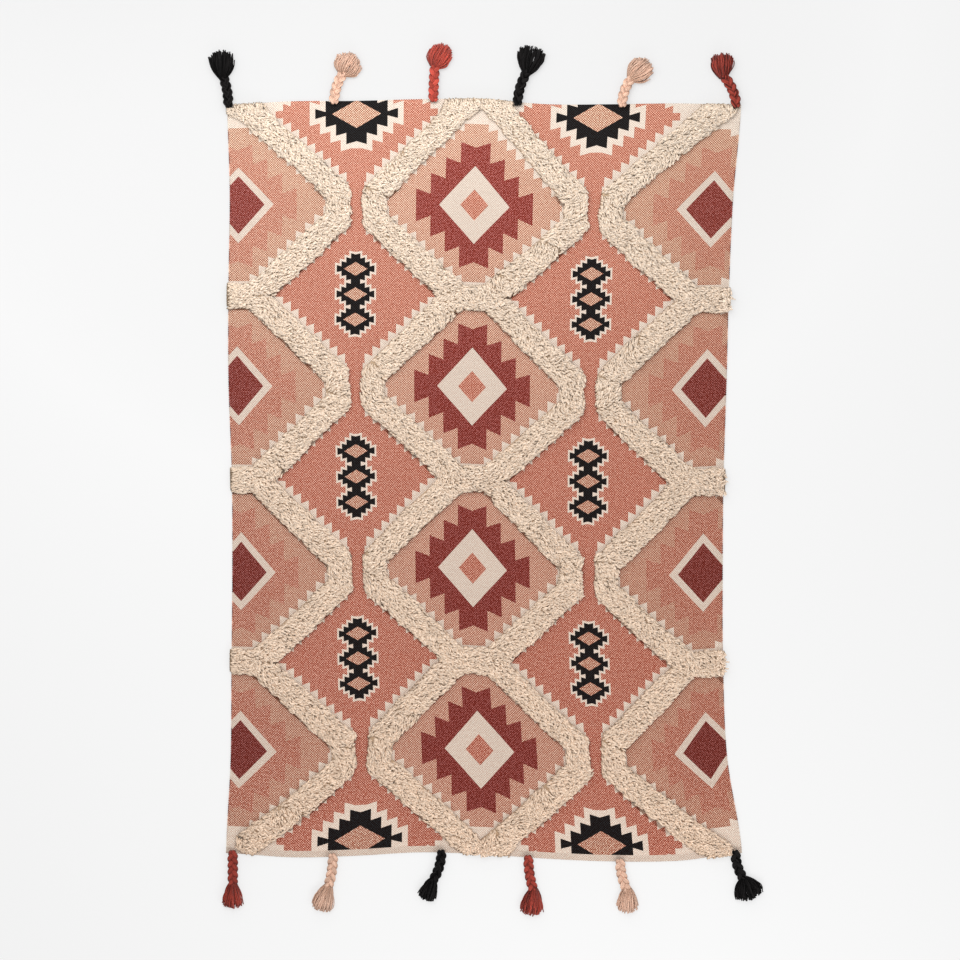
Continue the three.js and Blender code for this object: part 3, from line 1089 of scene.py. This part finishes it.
@dataclass
class PileBand:
    """One zigzag band of cut pile: a dense bed, and thousands of yarn ends that stand out of it.

    Attributes:
        name: the band's name.
        column: the column of hexagons that it edges, 0 for the middle one.
        side: 1 along the column's right side, -1 along its left.
        seed: where the band's random numbers start.
        far_short: how far the arm at the far end stops short of its point.
        near_short: the same at the near end.
        far_aside: how far the far end's point lies from the column's middle line.
        near_aside: the same at the near end.
        splay: how much wider the pile lies at the far hem and at the near one.
        splay_run: how far from the hem it starts to widen.
        shift: how far the band lies from the lattice, towards +Y.
        half_width: half of the band's width.
        lap: how much further the pile reaches where it faces the near end.
        lap_end: the place along the cloth past which it doesn't.
        ragged: how far the rim wanders.
        rag_scale: the size of the rim's swells, as a share of a clump.
        fine_rag: the share of the finer swells.
        fine_rag_scale: their size.
        bed_height: the bed's height.
        bed_square: how round the bed's section is, 1 for an ellipse.
        bed_sides: the section's sides.
        bed_stations: the sections along an arm's three runs.
        bed_fill: the bed's share of the band's width.
        bed_sink: how far the bed goes down into the cloth.
        root_depth: how deep in the bed a yarn starts.
        root_sink: how far below the cloth's face it may start.
        root_stray: how many spacings it strays from its place.
        spacing: the distance from yarn to yarn.
        yarn_radius: a yarn's radius.
        yarn_spread: the thinnest and the thickest yarn, as shares of it.
        yarn_profile: the root, the middle and the tip, as shares of it.
        yarn_length: a yarn's length.
        length_spread: how far the lengths differ, as a share.
        length_scale: the size of the swells in length, as a share of a clump.
        yarn_sides: a yarn's sides.
        rim_power: how sharply the rim's ways set in.
        rim_follow: how much more the rim's yarns lie along the band.
        rim_calm: how much less they stray.
        gather: how much they lean inwards.
        wander: how much single yarns lean their own way.
        comb: how much all yarns lean together.
        comb_turn: the way that they lean, in degrees from X.
        comb_swing: how far that way swings from clump to clump.
        follow: how much yarns lie along the band.
        stand: how much they stand up.
        edge_margin: the strip along the cloth's edges where yarns lean back.
        edge_turn: how much they do.
        clump: the size of a clump of yarns that lean alike.
        overhang: how far the pile stands out over the long sides.
        end_overhang: how far it stands out over the ends.
        plait_room: the room left free to either side of a plait.
        far_point: the far end's points, from the middle of the row beside them.
        near_point: the same at the near end.
    """

    name: str
    column: int
    side: int
    seed: int
    far_short: float = 0.0
    near_short: float = 0.0
    far_aside: float = 0.0
    near_aside: float = 0.0
    splay: tuple[float, float] = (0.014, 0.0)
    splay_run: float = 0.050
    shift: float = -0.003
    half_width: float = 0.0292
    lap: float = 0.004
    lap_end: float = 0.690
    ragged: float = 0.0030
    rag_scale: float = 0.5
    fine_rag: float = 0.8
    fine_rag_scale: float = 0.22
    bed_height: float = 0.0076
    bed_square: float = 0.7
    bed_sides: int = 12
    bed_stations: tuple[int, int, int] = (4, 18, 4)
    bed_fill: float = 0.92
    bed_sink: float = 0.001
    root_depth: float = 0.0030
    root_sink: float = 0.0008
    root_stray: float = 0.45
    spacing: float = 0.0038
    yarn_radius: float = 0.0024
    yarn_spread: tuple[float, float] = (0.82, 1.15)
    yarn_profile: tuple[float, float, float] = (0.9, 1.08, 0.8)
    yarn_length: float = 0.0145
    length_spread: float = 0.16
    length_scale: float = 0.7
    yarn_sides: int = 3
    rim_power: int = 3
    rim_follow: float = 2.0
    rim_calm: float = 0.6
    gather: float = 0.30
    wander: float = 0.55
    comb: float = 0.90
    comb_turn: float = -22.0
    comb_swing: float = 52.0
    follow: float = 0.4
    stand: float = 0.42
    edge_margin: float = 0.02
    edge_turn: float = 1.0
    clump: float = 0.034
    overhang: float = 0.005
    end_overhang: float = 0.003
    plait_room: float = 0.011
    far_point: float = 0.2550
    near_point: float = 0.2440

    def arms(self) -> Array:
        """Gives the corners of the arms' middle lines on the flat cloth.

        Returns:
            The corners by arm, corner and place.
        """
        column = LATTICE.middle + self.column * LATTICE.column_pitch
        upright = column + self.side * LATTICE.side_reach
        edge = column if self.column == 0 else -self.side * (LAYING.width / 2 + self.overhang)
        last = LATTICE.rows - 1
        arms = []
        for row in range(LATTICE.rows):
            centre = LATTICE.row_centre(row) + self.shift
            for way in (1, -1):
                shoulder = (upright, centre + way * LATTICE.upright_half)
                crossing = centre + way * LATTICE.row_pitch / 2
                tail = [(column + self.side * LATTICE.cross_half, crossing), (edge, crossing)]
                if (row, way) in ((0, 1), (last, -1)):
                    point = (column + self.side * self.far_aside, centre + self.far_point)
                    short = self.far_short
                    if way < 0:
                        point = (column + self.side * self.near_aside, centre - self.near_point)
                        short = self.near_short
                    run = np.subtract(point, shoulder) * (1 - short / LATTICE.side_reach)
                    tail = [shoulder + run / 2, shoulder + run]
                arms.append([(upright, centre), shoulder, *tail])
        return np.array(arms)

    def nearest(self, points: Array) -> tuple[Array, Array]:
        """Measures points against the band's middle line.

        Args:
            points: places on the flat cloth.

        Returns:
            Each point's distance, and the direction from the middle line to it.
        """
        distance = np.full(len(points), np.inf)
        away = np.zeros_like(points)
        for arm in self.arms():
            for start, end in zip(arm[:-1], arm[1:]):
                run = end - start
                share = np.clip((points - start) @ run / (run @ run), 0, 1)
                offset = points - start - share[:, None] * run
                length = np.linalg.norm(offset, axis=1)
                closer = length < distance
                distance = np.where(closer, length, distance)
                away[closer] = offset[closer]
        return distance, unit(away)

    def roots(self, random: np.random.Generator) -> tuple[Array, Array, Array]:
        """Chooses where the yarns start.

        Args:
            random: the band's own random numbers.

        Returns:
            The roots on the flat cloth, their share of the way out to the rim, and the way outwards.
        """
        half = np.array([LAYING.width / 2 + self.overhang, LAYING.length / 2 + self.end_overhang])
        axes = [np.arange(-limit, limit, self.spacing) for limit in half]
        grid = np.stack(np.meshgrid(*axes, indexing="ij"), axis=-1)
        grid[:, ::2, 0] += self.spacing / 2
        points = grid.reshape(-1, 2)
        points = points + random.uniform(-self.root_stray, self.root_stray, points.shape) * self.spacing
        distance, outward = self.nearest(points)
        lap = self.lap * np.maximum(-outward[:, 1], 0) * (points[:, 1] < self.lap_end)
        ragged = self.field(points, self.rag_scale)
        ragged += self.fine_rag * self.field(points[:, ::-1], self.fine_rag_scale)
        hem = np.clip((np.abs(points[:, 1]) - LAYING.length / 2) / self.splay_run + 1, 0, 1)
        splay = np.where(points[:, 1] > 0, *self.splay) * hem**2
        reach = self.half_width + lap + self.ragged * ragged + splay
        inside = (distance < reach) & (np.abs(points) <= half).all(axis=1)
        if self.column == 0:
            inside &= (points[:, 0] - LATTICE.middle) * self.side > 0
        x, y = LAYING.plan(points[:, 0], points[:, 1])
        for end, plans in TASSELS.items():
            for place, plan in enumerate(plans, start=1):
                start = Tassel(plan, end, place).corners()[0]
                beside = np.abs(x - start[0]) < self.plait_room
                inside &= ~(beside & ((y - start[1]) * end.value > 0))
        return points[inside], (distance / reach)[inside], outward[inside]

    def field(self, points: Array, scale: float) -> Array:
        """Gives a smooth uneven value over the cloth, so that yarns near each other agree.

        Args:
            points: places on the flat cloth.
            scale: how large the swells are, as a share of a clump.

        Returns:
            A value from -1 to 1 at each place.
        """
        x, y = (points / (self.clump * scale)).T
        return sum(wave.height(x, y) for wave in WAVES) / len(WAVES)

    def bed_rise(self, share: Array) -> Array:
        """Gives the bed's height above the cloth at shares of the way out to its rim."""
        return self.bed_height * (1 - np.clip(share, 0, 1) ** (2 / self.bed_square)) ** (self.bed_square / 2)

    def bed(self) -> Skin:
        """Makes the dense lower part of the pile along each arm.

        Returns:
            The arms' beds as one skin.
        """
        arms = self.arms()
        corners = arms.swapaxes(0, 1)
        runs = [
            start[:, None] + np.linspace(0, 1, count, endpoint=False)[None, :, None] * (end - start)[:, None]
            for start, end, count in zip(corners[:-1], corners[1:], self.bed_stations)
        ]
        paths = np.concatenate([*runs, arms[:, -1:]], axis=1)
        tangent = unit(np.gradient(paths, axis=1))
        left = np.stack([-tangent[..., 1], tangent[..., 0]], axis=-1)
        turn = 2 * math.pi * np.arange(self.bed_sides) / self.bed_sides
        cosine = np.cos(turn)
        sine = np.sin(turn)
        aside = np.sign(cosine) * np.abs(cosine) ** self.bed_square * self.half_width * self.bed_fill
        height = np.where(sine > 0, np.abs(sine) ** self.bed_square * self.bed_height, -self.bed_sink)
        flat = paths[:, :, None] + left[:, :, None] * aside[:, None]
        flat[..., 1] = np.clip(flat[..., 1], -LAYING.length / 2, LAYING.length / 2)
        x, y = LAYING.plan(flat[..., 0], flat[..., 1])
        z = LAYING.thickness + LAYING.lift(flat[..., 0], flat[..., 1]) + height
        skin = loft(np.stack([x, y, z], axis=-1), np.zeros(len(arms)))
        # Painted shade: the bed takes the root colour all over, dark in the gaps between yarns.
        skin.rise = np.zeros_like(skin.rise)
        return skin

    def ends(self) -> Skin:
        """Makes the yarn ends that stand out of the bed.

        Returns:
            The yarns as one skin.
        """
        random = np.random.default_rng(self.seed)
        roots, share, outward = self.roots(random)
        count = len(roots)
        comb_turn = np.radians(self.comb_turn + self.comb_swing * self.field(roots, 1.0))
        stray_turn = random.uniform(0, 2 * math.pi, count)
        rim = (share**self.rim_power)[:, None]
        combed = np.stack([np.cos(comb_turn), np.sin(comb_turn)], axis=-1)
        beside = np.stack([-outward[:, 1], outward[:, 0]], axis=-1)
        beside = beside * np.sign((beside * combed).sum(axis=1, keepdims=True))
        stray = np.stack([np.cos(stray_turn), np.sin(stray_turn)], axis=-1)
        lean = self.comb * unit(combed + (self.follow + self.rim_follow * rim) * beside)
        lean += self.wander * (1 - self.rim_calm * rim) * stray
        lean -= self.gather * rim * outward
        half = np.array([LAYING.width / 2, LAYING.length / 2])
        beyond = np.clip((np.abs(roots) - half + self.edge_margin) / self.edge_margin, 0, 1)
        lean -= self.edge_turn * beyond * np.sign(roots)
        aim = unit(np.concatenate([lean, np.full((count, 1), self.stand)], axis=1))
        uneven = self.length_spread * self.field(roots, self.length_scale)
        uneven += random.uniform(-self.length_spread, self.length_spread, count)
        length = self.yarn_length * (1 + uneven)
        x, y = LAYING.plan(roots[:, 0], roots[:, 1])
        depth = np.maximum(self.bed_rise(share) - self.root_depth, -self.root_sink)
        z = LAYING.thickness + LAYING.lift(roots[:, 0], roots[:, 1]) + depth
        start = np.stack([x, y, z], axis=-1)
        middle = start + length[:, None] / 2 * unit(aim + UPRIGHT)
        tip = middle + length[:, None] / 2 * unit(2 * aim - UPRIGHT)
        paths = np.stack([start, middle, tip], axis=1)
        radii = self.yarn_radius * random.uniform(*self.yarn_spread, count)[:, None]
        radii = radii * np.array(self.yarn_profile)
        turn = random.uniform(0, math.pi, count)
        reference = np.stack([np.cos(turn), np.sin(turn), np.zeros(count)], axis=-1)
        return yarns(paths, radii, self.yarn_sides, reference, random.uniform(-1, 1, count))

    def build(self) -> bpy.types.Object:
        """Tufts the band, and gives its piece."""
        return Skin.joined([self.bed(), self.ends()]).piece(f"pile_{self.name}")

    def nodes(self) -> list[str]:
        """Names the solids that the band stands for."""
        return [f"pile_{self.name}_{arm + 1}" for arm in range(2 * LATTICE.rows)]


BANDS = (
    PileBand("left", column=-1, side=1, seed=1, far_short=0.004, near_short=0.028, far_aside=0.004),
    PileBand("middle_left", column=0, side=-1, seed=2, far_short=-0.016, far_aside=0.014, near_aside=0.012),
    PileBand(
        "middle_right",
        column=0,
        side=1,
        seed=3,
        far_short=-0.016,
        far_aside=0.030,
        near_aside=0.004,
        splay=(0.010, 0.016),
    ),
    PileBand("right", column=1, side=-1, seed=4, far_aside=-0.010, splay=(0.004, 0.0)),
)


class Yarn(Enum):
    """The tassels' yarns, by name."""

    BLACK = "tassel_black"
    PEACH = "tassel_peach"
    RED = "tassel_red"


class End(Enum):
    """The rug's two ends, by the way that leads out from the cloth."""

    FAR = 1
    NEAR = -1


class TasselPlan(NamedTuple):
    """A tassel's yarn, its sizes in millimetres, and its looks.

    The root is the place across the hem. The plait and the tuft each run some way aside and some way out.
    The bloom goes from 0, for a brush that opens up to its tip, to 1, for a ball that opens at once.
    Dark says how much darker than its fellows the tassel's yarn is.
    """

    yarn: Yarn
    root: float
    plait: tuple[float, float]
    tuft: tuple[float, float]
    width: float
    bloom: float
    dark: float = 0.0


TASSELS = {
    End.FAR: (
        TasselPlan(Yarn.BLACK, -597, plait=(-14, 69), tuft=(-2, 58), width=64, bloom=0.4),
        TasselPlan(Yarn.PEACH, -345, plait=(23, 68), tuft=(24, 42), width=68, bloom=1.0),
        TasselPlan(Yarn.RED, -108, plait=(4, 81), tuft=(27, 46), width=60, bloom=1.0),
        TasselPlan(Yarn.BLACK, 93, plait=(24, 74), tuft=(14, 58), width=68, bloom=0.3),
        TasselPlan(Yarn.PEACH, 342, plait=(24, 63), tuft=(42, 36), width=62, bloom=0.75),
        TasselPlan(Yarn.RED, 614, plait=(-31, 69), tuft=(-4, 52), width=58, bloom=0.25, dark=1.7),
    ),
    End.NEAR: (
        TasselPlan(Yarn.RED, -587, plait=(0, 76), tuft=(1, 52), width=52, bloom=0.0, dark=1.4),
        TasselPlan(Yarn.PEACH, -348, plait=(-12, 73), tuft=(-20, 55), width=56, bloom=0.1, dark=0.4),
        TasselPlan(Yarn.BLACK, -89, plait=(-23, 69), tuft=(-16, 43), width=46, bloom=0.2),
        TasselPlan(Yarn.RED, 118, plait=(13, 78), tuft=(-7, 56), width=58, bloom=0.1, dark=1.2),
        TasselPlan(Yarn.PEACH, 337, plait=(18, 69), tuft=(0, 51), width=52, bloom=0.2, dark=0.4),
        TasselPlan(Yarn.BLACK, 612, plait=(22, 64), tuft=(14, 46), width=72, bloom=0.35),
    ),
}


@dataclass
class Tassel:
    """A three-strand plait that starts on the hem and opens into a tuft of cut yarn.

    Attributes:
        plan: the tassel's own sizes and looks.
        end: the end of the rug that it hangs from.
        place: its place along that end, from the left.
        hem_lap: how far inside the hem's edge the plait starts.
        hem_clear: how far past the edge it stays up.
        hem_fall: the run in which it falls to the floor.
        stations: the sections along the plait.
        plait_pitch: the run of one full turn of the strands.
        plait_half: how far the strands swing to either side.
        plait_depth: how far they swing up and down.
        plait_light: how light the plait's top is painted, 1 for a tip's colour; the painted shade darkens
            lower yarns.
        plait_middle: how light its middle is painted, as a share of that.
        root_draw: the run in which the plait widens from the hem.
        neck_draw: the run in which it narrows to the neck.
        drawn: how wide it is at both, as a share.
        strands: how many strands are plaited.
        strand_half: half of a strand's width and height.
        strand_yarns: the yarns in a strand.
        yarn_radius: their radius.
        middle_height: the plait's middle above the floor.
        tuft_yarns: the cut yarns in the tuft.
        tuft_stations: the sections along a cut yarn.
        tuft_yarn_radius: a cut yarn's radius.
        tuft_top: how far the tuft rises above the plait's middle.
        tuft_flare: the share of its length in which a brush opens, and a ball.
        tuft_round: how much shorter a brush's outer yarns are, and a ball's.
        tuft_ragged: how far the tips stray.
        tuft_core: the share of the tuft's section that is left empty inside.
        tuft_lengths: the shortest and the longest yarn, as shares.
        tuft_wave: how far a yarn waves.
        tuft_neck: how high the tuft is at its neck, as a share.
        tuft_sag: how far the tips sink, as a share.
        tuft_light: how light a yarn is painted at the neck, in painted shade, 1 for a tip's colour.
        tuft_shade: how light the tuft is painted at the floor, in painted shade, as a share.
        droop_start: where along a yarn its tip starts to sink.
        neck_half: half of the neck's width.
        seed_step: the step from one tassel's random numbers to the next.
        sides: the sides of the plait's yarns.
        tuft_sides: the sides of the cut yarns.
    """

    plan: TasselPlan
    end: End
    place: int
    hem_lap: float = 0.007
    hem_clear: float = 0.005
    hem_fall: float = 0.014
    stations: int = 46
    plait_pitch: float = 0.047
    plait_half: float = 0.0076
    plait_depth: float = 0.0042
    plait_light: float = 0.88
    plait_middle: float = 0.45
    root_draw: float = 0.012
    neck_draw: float = 0.010
    drawn: float = 0.45
    strands: int = 3
    strand_half: tuple[float, float] = (0.0032, 0.0022)
    strand_yarns: int = 6
    yarn_radius: float = 0.0025
    middle_height: float = 0.0095
    tuft_yarns: int = 160
    tuft_stations: int = 8
    tuft_yarn_radius: float = 0.0016
    tuft_top: float = 0.0130
    tuft_flare: tuple[float, float] = (1.0, 0.52)
    tuft_round: tuple[float, float] = (0.12, 0.36)
    tuft_ragged: float = 0.0035
    tuft_core: float = 0.12
    tuft_lengths: tuple[float, float] = (0.80, 1.04)
    tuft_wave: float = 0.0020
    tuft_neck: float = 0.35
    tuft_sag: float = 0.45
    tuft_light: float = 0.30
    tuft_shade: float = 0.66
    droop_start: float = 0.5
    neck_half: float = 0.008
    seed_step: int = 100
    sides: int = 5
    tuft_sides: int = 3

    @property
    def name(self) -> str:
        """The tassel's name, which is its solid's too."""
        return f"tassel_{self.end.name.lower()}_{self.place}"

    def corners(self) -> Array:
        """Gives the plait's start on the hem, its bend and its neck.

        Returns:
            The three places on the floor plan.
        """
        root = self.plan.root * MM
        aside, out = np.array(self.plan.plait) * (MM, self.end.value * MM)
        edge = np.clip(root, -LAYING.width / 2, LAYING.width / 2)
        _, y = LAYING.plan(np.array([edge]), np.array([self.end.value * LAYING.length / 2]))
        return np.array(
            [
                (root, y[0] - self.end.value * self.hem_lap),
                (root, y[0] + out / 2),
                (root + aside, y[0] + out),
            ]
        )

    def route(self) -> tuple[Array, Array, Array]:
        """Gives the plait's middle line.

        Returns:
            Its points with their heights, the way to their side, and the distance run at each.
        """
        start, bend, neck = self.corners()
        t = np.linspace(0, 1, self.stations)[:, None]
        plan = (1 - t) ** 2 * start + 2 * t * (1 - t) * bend + t**2 * neck
        tangent = unit(np.gradient(plan, axis=0))
        run = np.concatenate([[0], np.cumsum(np.linalg.norm(np.diff(plan, axis=0), axis=1))])
        out = (plan[:, 1] - start[1]) * self.end.value - self.hem_lap
        fall = np.clip((out - self.hem_clear) / self.hem_fall, 0, 1)
        lift = LAYING.thickness * (1 - fall**2 * (3 - 2 * fall))
        points = np.column_stack([plan, self.middle_height + lift])
        side = np.column_stack([-tangent[:, 1], tangent[:, 0], np.zeros(self.stations)])
        return points, side, run

    def plait(self, random: np.random.Generator) -> Skin:
        """Plaits three strands of several yarns each.

        Args:
            random: the tassel's own random numbers.

        Returns:
            The plait's yarns as one skin.
        """
        points, side, run = self.route()
        ends = np.clip(np.minimum(run / self.root_draw, (run[-1] - run) / self.neck_draw), 0, 1)
        swing = self.drawn + (1 - self.drawn) * np.sqrt(ends)
        paths = []
        for strand in range(self.strands):
            phase = 2 * math.pi * (run / self.plait_pitch + strand / self.strands)
            middle = points + side * (self.plait_half * swing * np.sin(phase))[:, None]
            middle = middle + UPRIGHT * (self.plait_depth * swing * np.sin(2 * phase))[:, None]
            tangent = unit(np.gradient(middle, axis=0))
            across = unit(np.cross(UPRIGHT, tangent))
            over = np.cross(tangent, across)
            for yarn in range(self.strand_yarns):
                turn = 2 * math.pi * (yarn + 0.5) / self.strand_yarns
                path = middle + across * (self.strand_half[0] * math.cos(turn) * swing)[:, None]
                paths.append(path + over * (self.strand_half[1] * math.sin(turn) * swing)[:, None])
        tubes = np.array(paths)
        tubes[:, :, 2] = np.maximum(tubes[:, :, 2], self.yarn_radius)
        radii = np.full(tubes.shape[:2], self.yarn_radius)
        reference = np.broadcast_to(UPRIGHT, (len(tubes), 3))
        skin = yarns(tubes, radii, self.sides, reference, random.uniform(-1, 1, len(tubes)))
        # Painted shade: yarns are painted lighter on the plait's top and darker low down.
        heights = skin.points[:, 2].reshape(len(tubes), self.stations, self.sides)
        above = (heights - points[:, 2][None, :, None]) / (2 * self.plait_depth)
        skin.rise = self.plait_light * np.clip(self.plait_middle + above, 0, 1).ravel()
        return skin

    def tuft(self, random: np.random.Generator) -> Skin:
        """Opens the cut yarn from the plait's neck into a round brush.

        Args:
            random: the tassel's own random numbers.

        Returns:
            The cut yarns as one skin.
        """
        count = self.tuft_yarns
        neck = np.array([*self.corners()[2], self.middle_height])
        axis = np.array(self.plan.tuft) * (MM, self.end.value * MM)
        reach = np.linalg.norm(axis) + self.neck_half
        straight = unit(axis)
        across = np.array([-straight[1], straight[0]])
        half_width = self.plan.width * MM / 2 - self.tuft_yarn_radius
        round_turn = random.uniform(0, 2 * math.pi, count)
        shell = np.sqrt(random.uniform(self.tuft_core, 1.0, count))
        aside = (shell * np.cos(round_turn))[:, None]
        above = (shell * np.sin(round_turn))[:, None]
        t = np.linspace(0, 1, self.tuft_stations)[None, :]
        opened = np.interp(self.plan.bloom, (0, 1), self.tuft_flare)
        flare = np.sin(math.pi / 2 * np.minimum(t / opened, 1))
        droop = np.maximum(t - self.droop_start, 0) / (1 - self.droop_start)
        rounding = np.interp(self.plan.bloom, (0, 1), self.tuft_round)
        length = reach * (1 - rounding * aside**2) * random.uniform(*self.tuft_lengths, count)[:, None]
        wave = random.uniform(-self.tuft_wave, self.tuft_wave, count)[:, None] * np.sin(2 * math.pi * t)
        wave = wave + random.uniform(-self.tuft_ragged, self.tuft_ragged, count)[:, None] * droop**2
        sideways = (self.neck_half + (half_width - self.neck_half) * flare) * aside + wave
        ahead = length * t - self.neck_half
        plan = neck[:2] + ahead[..., None] * straight + sideways[..., None] * across
        drop = self.middle_height - self.tuft_yarn_radius
        swell = self.tuft_neck + (1 - self.tuft_neck) * flare - self.tuft_sag * droop**2
        height = self.middle_height + np.where(above > 0, self.tuft_top, drop) * above * swell
        paths = np.concatenate([plan, np.maximum(height, self.tuft_yarn_radius)[..., None]], axis=2)
        radii = np.full((count, self.tuft_stations), self.tuft_yarn_radius)
        reference = np.broadcast_to(UPRIGHT, (count, 3))
        skin = yarns(paths, radii, self.tuft_sides, reference, random.uniform(-1, 1, count))
        # Painted shade: yarns are painted darker at the neck and near the floor.
        deep = np.clip(skin.points[:, 2] / (self.middle_height + self.tuft_top), 0, 1)
        shade = self.tuft_shade + (1 - self.tuft_shade) * deep
        skin.rise = np.clip(self.tuft_light + skin.rise, 0, 1) * shade
        return skin

    def build(self) -> bpy.types.Object:
        """Makes the tassel.

        Returns:
            The plait and its tuft as one piece.
        """
        random = np.random.default_rng(self.seed_step * self.place + self.end.value)
        skin = Skin.joined([self.plait(random), self.tuft(random)])
        skin.tone = skin.tone - self.plan.dark
        return skin.piece(f"{self.name}_yarn")


# Each finish's root colour is painted shade, its tip colour the lit yarn.
YARN_FINISHES = {
    Yarn.BLACK: YarnFinish(
        "black_yarn",
        root=dye(0.0015, 0.0015, 0.0015),
        tip=dye(0.010, 0.009, 0.009),
        spread=0.8,
        sheen=0.03,
    ),
    Yarn.PEACH: YarnFinish(
        "peach_yarn",
        root=dye(0.42, 0.245, 0.165),
        tip=dye(0.74, 0.485, 0.365),
        spread=0.18,
    ),
    Yarn.RED: YarnFinish(
        "red_yarn",
        root=dye(0.15, 0.023, 0.016),
        tip=dye(0.51, 0.077, 0.053),
        spread=0.30,
    ),
}
# Painted shade: the pile's root colour darkens the bed and the yarns' roots.
PILE_FINISH = YarnFinish(
    "pile_yarn",
    root=dye(0.47, 0.345, 0.23),
    tip=dye(0.94, 0.785, 0.64),
    spread=0.13,
    near=dye(1.02, 0.955, 0.92),
    far=dye(1.03, 1.055, 1.08),
)


# Studio


class Softbox(NamedTuple):
    """A soft light: its name, its place, the point that it faces, its width and height, and its power."""

    name: str
    place: tuple[float, float, float]
    target: tuple[float, float, float]
    size: tuple[float, float]
    watts: float

    def hang(self) -> None:
        """Hangs the light."""
        data = bpy.data.lights.new(self.name, "AREA")
        data.shape = "RECTANGLE"
        data.size, data.size_y = self.size
        data.energy = self.watts
        light = bpy.data.objects.new(self.name, data)
        bpy.context.collection.objects.link(light)
        light.location = self.place
        aim = Vector(self.target) - light.location
        light.rotation_euler = aim.to_track_quat("-Z", "Y").to_euler()


SOFTBOXES = (
    Softbox("far_softbox", place=(-0.35, 1.15, 0.9), target=(-0.1, 0.45, 0.0), size=(1.6, 0.5), watts=6.8),
    Softbox("fill_softbox", place=(-0.5, 1.2, 3.4), target=(0.0, -0.1, 0.0), size=(2.6, 1.8), watts=62.0),
    Softbox("near_softbox", place=(0.5, -1.9, 1.2), target=(0.0, -0.5, 0.0), size=(1.8, 0.7), watts=12.5),
)


@dataclass
class Studio:
    """A pale floor, soft light from above the far end, and a camera that looks straight down."""

    pixels: int = 960
    pixel: float = 0.00239
    look_at: tuple[float, float] = (0.003, -0.0017)
    camera_height: float = 6.0
    sensor: float = 36.0
    view_end: float = 100.0
    air_strength: float = 0.64
    floor_half: float = 6.0
    floor_drop: float = 0.0004
    floor_colour: Colour = dye(0.25, 0.25, 0.25)
    floor_roughness: float = 0.9
    floor_glow: float = 0.625
    glow_dip: float = 0.17
    glow_middle: tuple[float, float] = (-0.2, 1.15)
    glow_reach: float = 1.2

    def build(self) -> None:
        """Makes the floor, the lights and the camera."""
        self.build_floor()
        for softbox in SOFTBOXES:
            softbox.hang()
        world = bpy.data.worlds.new("studio_air")
        bpy.context.scene.world = world
        world.use_nodes = True
        air = world.node_tree.nodes["Background"]
        air.inputs["Color"].default_value = Dye.PLAIN
        air.inputs["Strength"].default_value = self.air_strength
        bpy.context.scene.view_settings.view_transform = "Standard"
        self.build_camera()

    def build_floor(self) -> None:
        """Lays the floor just under the rug."""
        bpy.ops.object.select_all(action="DESELECT")
        bpy.ops.mesh.primitive_plane_add(size=2 * self.floor_half, location=(0, 0, -self.floor_drop))
        floor = bpy.context.object
        floor.name = "floor"
        graph = Graph("pale_floor")
        coordinates = graph.node("ShaderNodeTexCoord")
        place = graph.node("ShaderNodeSeparateXYZ", None, {0: coordinates.outputs["Object"]})
        across = Value(graph, place.outputs["X"]) - self.glow_middle[0]
        along = Value(graph, place.outputs["Y"]) - self.glow_middle[1]
        dip = (1.0 - (across * across + along * along) / self.glow_reach**2).most(0.0) * self.glow_dip
        surface = graph.node(
            "ShaderNodeBsdfPrincipled",
            None,
            {
                "Base Color": self.floor_colour,
                "Roughness": self.floor_roughness,
                "Specular IOR Level": 0.0,
                "Emission Color": graph.mix(dip, Dye.PLAIN, Dye.NONE),
                "Emission Strength": self.floor_glow,
            },
        )
        graph.node("ShaderNodeOutputMaterial", None, {"Surface": surface.outputs[0]})
        floor.data.materials.append(graph.material)

    def build_camera(self) -> None:
        """Sets the camera above the rug, with the photograph's frame."""
        data = bpy.data.cameras.new("camera")
        data.sensor_width = self.sensor
        data.lens = self.sensor * self.camera_height / (self.pixels * self.pixel)
        data.clip_end = self.view_end
        camera = bpy.data.objects.new("camera", data)
        bpy.context.collection.objects.link(camera)
        camera.location = (*self.look_at, self.camera_height)
        bpy.context.scene.camera = camera


def dress_yarn(piece: bpy.types.Object, material: bpy.types.Material, nodes: list[str]) -> None:
    """Finishes a piece of yarn and puts it in its solids' place.

    Args:
        piece: the piece.
        material: its material.
        nodes: the solids that it stands for.
    """
    piece.data.materials.append(material)
    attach(piece, BODY)
    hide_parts(*nodes)
    log.info("%s: %d faces", piece.name, len(piece.data.polygons))


def main() -> None:
    """Builds the rug and its studio."""
    logging.basicConfig(level=logging.INFO)
    Studio().build()

    ground = WovenGround()
    cloth = ground.build()
    selvedges = ground.build_selvedges()
    ground.dress(cloth, selvedges)
    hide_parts("woven_ground")

    pile_material = PILE_FINISH.material()
    for band in BANDS:
        piece = band.build()
        dress_yarn(piece, pile_material, band.nodes())

    materials = {yarn: finish.material() for yarn, finish in YARN_FINISHES.items()}
    for end, plans in TASSELS.items():
        for place, plan in enumerate(plans, start=1):
            tassel = Tassel(plan, end, place)
            piece = tassel.build()
            dress_yarn(piece, materials[plan.yarn], [tassel.name])


if __name__ == "__main__":
    main()
